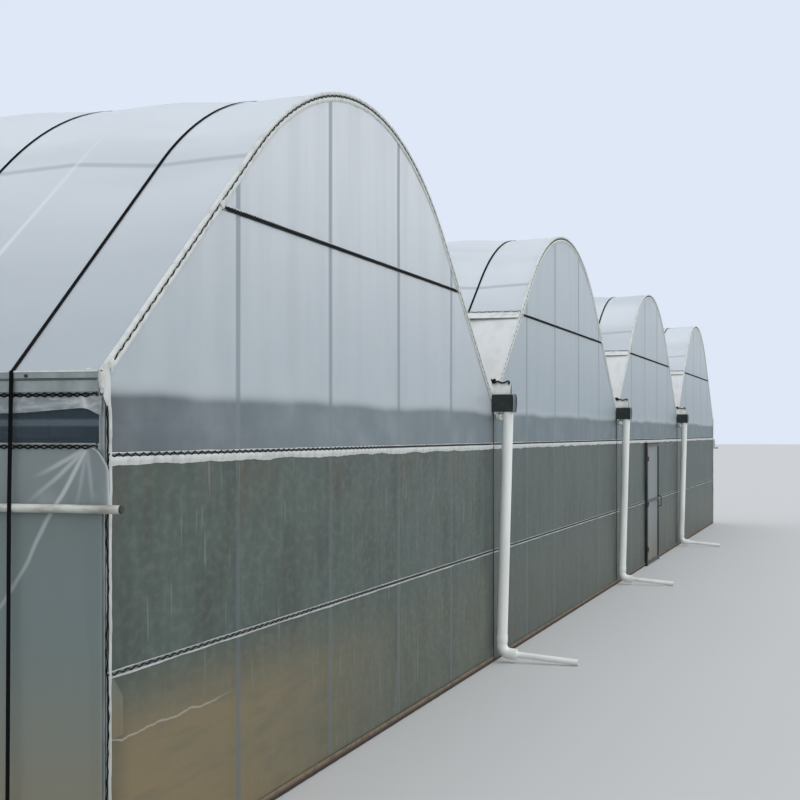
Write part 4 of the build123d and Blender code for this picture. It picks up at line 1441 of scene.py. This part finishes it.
def vent_hem(index):
    """The doubled upper edge of the curtain, standing off at its lower side."""
    def place(u, v):
        y, along = mixed(-gable_y + 0.002, gable_y - 0.002, u), vent_top + 0.004 - VENT_HEM * v
        lift = 0.010 + 0.016 * v + 0.003 * ripple(y, index, v, 0.12)
        sway = Vector((0, 0, 0.004 * ripple(y, index + 3, 0, 0.5) * v))
        return over_bow(index, along, y, lift) + sway

    return film(f"hem_span_{index + 1}", 200, 4, place, 0.0015)


for index in range(1, SPANS):
    curtain = put(vent_curtain(index), "building", vent_film, "roof_film")
    print(curtain.name)
group([vent_hem(index) for index in range(1, SPANS)], "roof_vent_hems", folded_film, "roof_film")

# %% [markdown]
# ## Valley ends
#
# Each valley is closed at its end with spare film. It is pulled out over the outlet box like a
# small tent and tied along its ridge with a short bunch of wire that ends in a loop. Under the box
# a fold of film is tucked away, and a bright bead runs round the box's edge.

# %% Tents, wire bunches and beads
PATCH_H, PATCH_OUT = 0.138, 0.195
BUNCH_ROUTE = (
    (0.004, 0.016), (0.030, -0.016), (0.050, 0.016), (0.028, 0.018), (0.012, -0.014), (0.046, -0.018),
    (0.068, 0.006), (0.100, -0.010), (0.130, -0.012), (0.158, 0.004), (0.184, 0.012), (0.192, -0.012),
    (0.178, -0.020),
)
patch_foot = gutter_top + 0.006


def valley_tent(x, end):
    """Crumpled film over the outlet box: u runs outwards, v from one foot over the ridge."""
    def place(u, v):
        lean = 2 * v - 1
        rise = (1 - abs(lean)) ** 0.8 * (1 - 0.10 * u - 0.25 * max(0.0, u - 0.8))
        crumple = 0.006 * ripple(x + lean * 0.06, u * PATCH_OUT, end, 0.035)
        across = lean * mixed(0.050, 0.046, u) + crumple * (1 - abs(lean)) + crumple * 0.5
        return on_gable(end, x + across, PATCH_OUT * u - 0.012, patch_foot + PATCH_H * rise + crumple)

    return film(f"tent_{x}_{end}", 16, 16, place)


def wire_bunch(x, end):
    """A short bunch of wire along the tent's ridge, with a loop at its outer end."""
    ridge = patch_foot + PATCH_H - 0.008
    points = [
        (x - 0.020 + 0.3 * up, end * (gable_y - 0.02 + out), ridge - 0.07 * out + up)
        for out, up in BUNCH_ROUTE
    ]
    return bent_wire(f"bunch_{x}_{end}", points, 0.0085)


def box_bead(x, side, end):
    """Bead along an outlet box's upper edge and round its end plate."""
    low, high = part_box("outlet_boxes_front")
    out = -low.y - gable_y
    half = (high.x - valley_xs[-1]) - 0.014
    route = (
        (0.002, high.z - 0.006, half), (0.10, high.z - 0.006, half),
        (out - 0.02, high.z - 0.004, half + 0.004),
        (out + 0.002, high.z - 0.010, half + 0.010), (out + 0.004, high.z - 0.05, half + 0.013),
        (out + 0.003, low.z + 0.03, half + 0.013), (out - 0.004, low.z + 0.004, half + 0.008),
    )
    points = [(x + side * across, end * (gable_y + away), z) for away, z, across in route]
    return bent_wire(f"bead_{x}_{side}_{end}", points, 0.0042)


def tucked_fold(x, end):
    """The spare film tucked away under an outlet box."""
    spot = (x - 0.006, end * (gable_y + 0.066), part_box("outlet_boxes_front")[0].z - 0.045)
    return knot(spot, (0.042, 0.046, 0.048), x)


# %% Lay the valley ends
for end, end_name in ENDS:
    for make, label, material, slot in (
        (valley_tent, "valley_film_tents", folded_film, "gable_arch_film"),
        (tucked_fold, "tucked_film_folds", folded_film, "gable_arch_film"),
        (wire_bunch, "valley_wire_bunches", wire_coat, "lock_channel"),
    ):
        group([make(x, end) for x in valley_xs], f"{label}_{end_name}", material, slot)
    beads = [box_bead(x, side, end) for x in valley_xs for side in (-1, 1)]
    group(beads, f"outlet_box_beads_{end_name}", galvanised_sheet, "dark_outlet")

# %% [markdown]
# ## Press cords
#
# The cords are flat webbing, pulled tight over the film halfway between the bows. They hold the
# roof down, so they are part of the structure: taut straps that waver by a millimetre or two. On
# the outer spans they lean a little to where they are tied and run down the wall to the ground.

# %% Route of a cord
CORD_W, CORD_T, CORD_GAP = 0.022, 0.0022, 0.001
ROOF_STEPS, WALL_STEPS = 90, 22
cord_foot_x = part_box("press_cords_span_4")[1].x
bend_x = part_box("curtain_roll_tube_right")[1].x + CORD_GAP + CORD_T / 2
eave_out = eave_high.x


def cord_line(index, number):
    """The route of a press cord as points from the middle of its span."""
    left, right = feet_along(index)
    line = []
    for step in range(ROOF_STEPS + 1):
        along = mixed(-left, right, step / ROOF_STEPS)
        foot = left if along < 0 else right
        lift = mixed(0.003, CORD_GAP + CORD_T / 2 - FILM_SAG + 0.0040, sag_fade(along, foot))
        x, z = bow_point(along, lift)
        line.append((x, cord_place(index, number, along, foot), z))
    down = []
    y = cord_ys[number] + EAVE_LEANS[number]
    ledge = eave_top - 0.036
    drops = [ledge * (1 - i / WALL_STEPS) for i in range(WALL_STEPS + 1)]
    for height in [eave_top + 0.003] + drops:
        if height > ledge:
            x = eave_out + 0.004
        elif height > ROLL_Z:
            x = mixed(bend_x, eave_out + 0.004, (height - ROLL_Z) / (ledge - ROLL_Z))
        else:
            x = mixed(cord_foot_x - 0.002, bend_x, height / ROLL_Z)
        down.append((x - (half_width - half_span), y, height))
    if index == 0:
        line = [(-x, y, z) for x, y, z in reversed(down)] + line
    if index == SPANS - 1:
        line = line + down
    return line


# %% Lay the cords
def cord(index, number):
    """One strap, lying flat on the film."""
    line = cord_line(index, number)

    def place(u, v):
        step = u * (len(line) - 1)
        first = min(int(step), len(line) - 2)
        x, y, z = (mixed(a, b, step - first) for a, b in zip(line[first], line[first + 1]))
        return Vector((span_xs[index] + x, y + (v - 0.5) * CORD_W + 0.002 * ripple(x, y, z, 1.5), z))

    return film(f"cord_{index}_{number}", len(line) - 1, 1, place, CORD_T)


for index in range(SPANS):
    straps = [cord(index, number) for number in range(len(cord_ys))]
    node = f"press_cords_span_{index + 1}"
    group(straps, f"webbing_cords_span_{index + 1}", webbing, "black_webbing", node)

# %% [markdown]
# ## Door film, pipe collars and bolts
#
# The door's two fields carry a dusty film like the wall's. Each downpipe has a socket collar over
# its bend, and hexagon bolts hold the eave ledge. One function makes each kind.

# %% Door film
DOOR_FILM_BACK, HALF_RAIL = 0.018, 0.02
film_low, film_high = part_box("door_film")
fields = ((film_low.z, WAIST_Z - HALF_RAIL, "low"), (WAIST_Z + HALF_RAIL, film_high.z, "high"))
for low, high, level in fields:
    def place(u, v, low=low, high=high):
        x, z = mixed(film_low.x, film_high.x, u), mixed(low, high, v)
        y = middle("door_film").y + DOOR_FILM_BACK
        return Vector((x, y + 0.6 * wall_offset(x, z, low, high, 2), z))

    panel = film(f"door_film_sheet_{level}", 40, 20, place)
    print(panel.name)
    put(panel, "door", door_skin, "door_film", "door_film")


# %% Pipe collars and bolts
def collar(location, radius, length, rotation):
    """A short socket ring with rounded rims."""
    ring = cylinder(40, radius, length, location, rotation, "NOTHING")
    apply_modifier(ring, "SOLIDIFY", thickness=0.003, offset=1)
    apply_modifier(ring, "BEVEL", width=0.0012, segments=2, limit_method="ANGLE")
    smooth(ring, 40)
    return ring


def bolt(location, side):
    """A hexagon head with a washer, facing out of a side wall."""
    head = cylinder(6, 0.009, 0.007, location, (0, math.radians(90) * side, 0))
    with editing(head):
        bpy.ops.mesh.select_all(action="DESELECT")
    for face in head.data.polygons:
        face.select = face.normal.x * side > 0.9
    with editing(head, whole=False):
        bpy.ops.mesh.inset(thickness=0.0015)
        bpy.ops.transform.translate(value=(side * 0.0012, 0, 0))
    return head


PIPE_TOP_OUT, PIPE_FOOT_OUT, PIPE_BEND_Z = 0.150, 0.085, 0.095
PIPE_R, COLLAR_Z, COLLAR_LENGTH = 0.0552, 0.235, 0.075
FIRST_BOLT, BOLT_PITCH, BOLTS = 0.356, 0.55, 24
fall = gutter_base - PIPE_BEND_Z
lean = math.atan2(PIPE_TOP_OUT - PIPE_FOOT_OUT, fall)
collar_out = mixed(PIPE_FOOT_OUT, PIPE_TOP_OUT, (COLLAR_Z - PIPE_BEND_Z) / fall)
for end, end_name in ENDS:
    rings = [
        collar((x, end * (gable_y + collar_out), COLLAR_Z), PIPE_R, COLLAR_LENGTH, (-end * lean, 0, 0))
        for x in valley_xs
    ]
    group(rings, f"pipe_collars_{end_name}", white_pvc, "white_pvc")
bolts = [
    bolt((side * (eave_out + 0.003), FIRST_BOLT - frame_end + BOLT_PITCH * i, eave_top - 0.022), side)
    for side in (-1, 1)
    for i in range(BOLTS)
]
group(bolts, "eave_bolts", black_paint, "galvanised_sheet")

# %% [markdown]
# ## Studio
#
# A pale floor and a pale sky stand in for the yard. The sky's even light comes from the world, and
# one very soft sun from above gives the pipes and folds a gentle shadow, as an overcast day does.

# %% Stage, light and background
deselect_all()
bpy.ops.mesh.primitive_plane_add(size=600, location=(0, 0, -0.001))
floor = bpy.context.object
floor.name = "studio_floor"
floor_material = new_material("pale_studio_floor")
finish_shader(add_node("ShaderNodeBsdfPrincipled", {"Base Color": colour("bfc0bd"), "Roughness": 0.9}))
wear(floor, floor_material)

world = bpy.data.worlds.new("overcast_sky")
bpy.context.scene.world = world
world.use_nodes = True
tree = world.node_tree
tree.nodes.clear()
path = add_node("ShaderNodeLightPath")
seen = maths("MAXIMUM", path.outputs["Is Camera Ray"], path.outputs["Is Glossy Ray"])
seen = maths("MAXIMUM", seen, path.outputs["Is Transmission Ray"])
light = add_node("ShaderNodeBackground", {"Color": colour("f3f6ff"), "Strength": 1.0})
sky = add_node("ShaderNodeBackground", {"Color": colour("dfe8f7"), "Strength": 1.0})
both = add_node("ShaderNodeMixShader", {0: seen, 1: light.outputs[0], 2: sky.outputs[0]})
add_node("ShaderNodeOutputWorld", {"Surface": both.outputs[0]})

sun_data = bpy.data.lights.new("soft_sun", "SUN")
sun_data.energy = 0.9
sun_data.angle = math.radians(70)
sun = bpy.data.objects.new("soft_sun", sun_data)
sun.rotation_euler = (math.radians(30), math.radians(-18), 0)
bpy.context.scene.collection.objects.link(sun)
bpy.context.scene.view_settings.view_transform = "Standard"
print("light:", world.name, "and", sun.name)
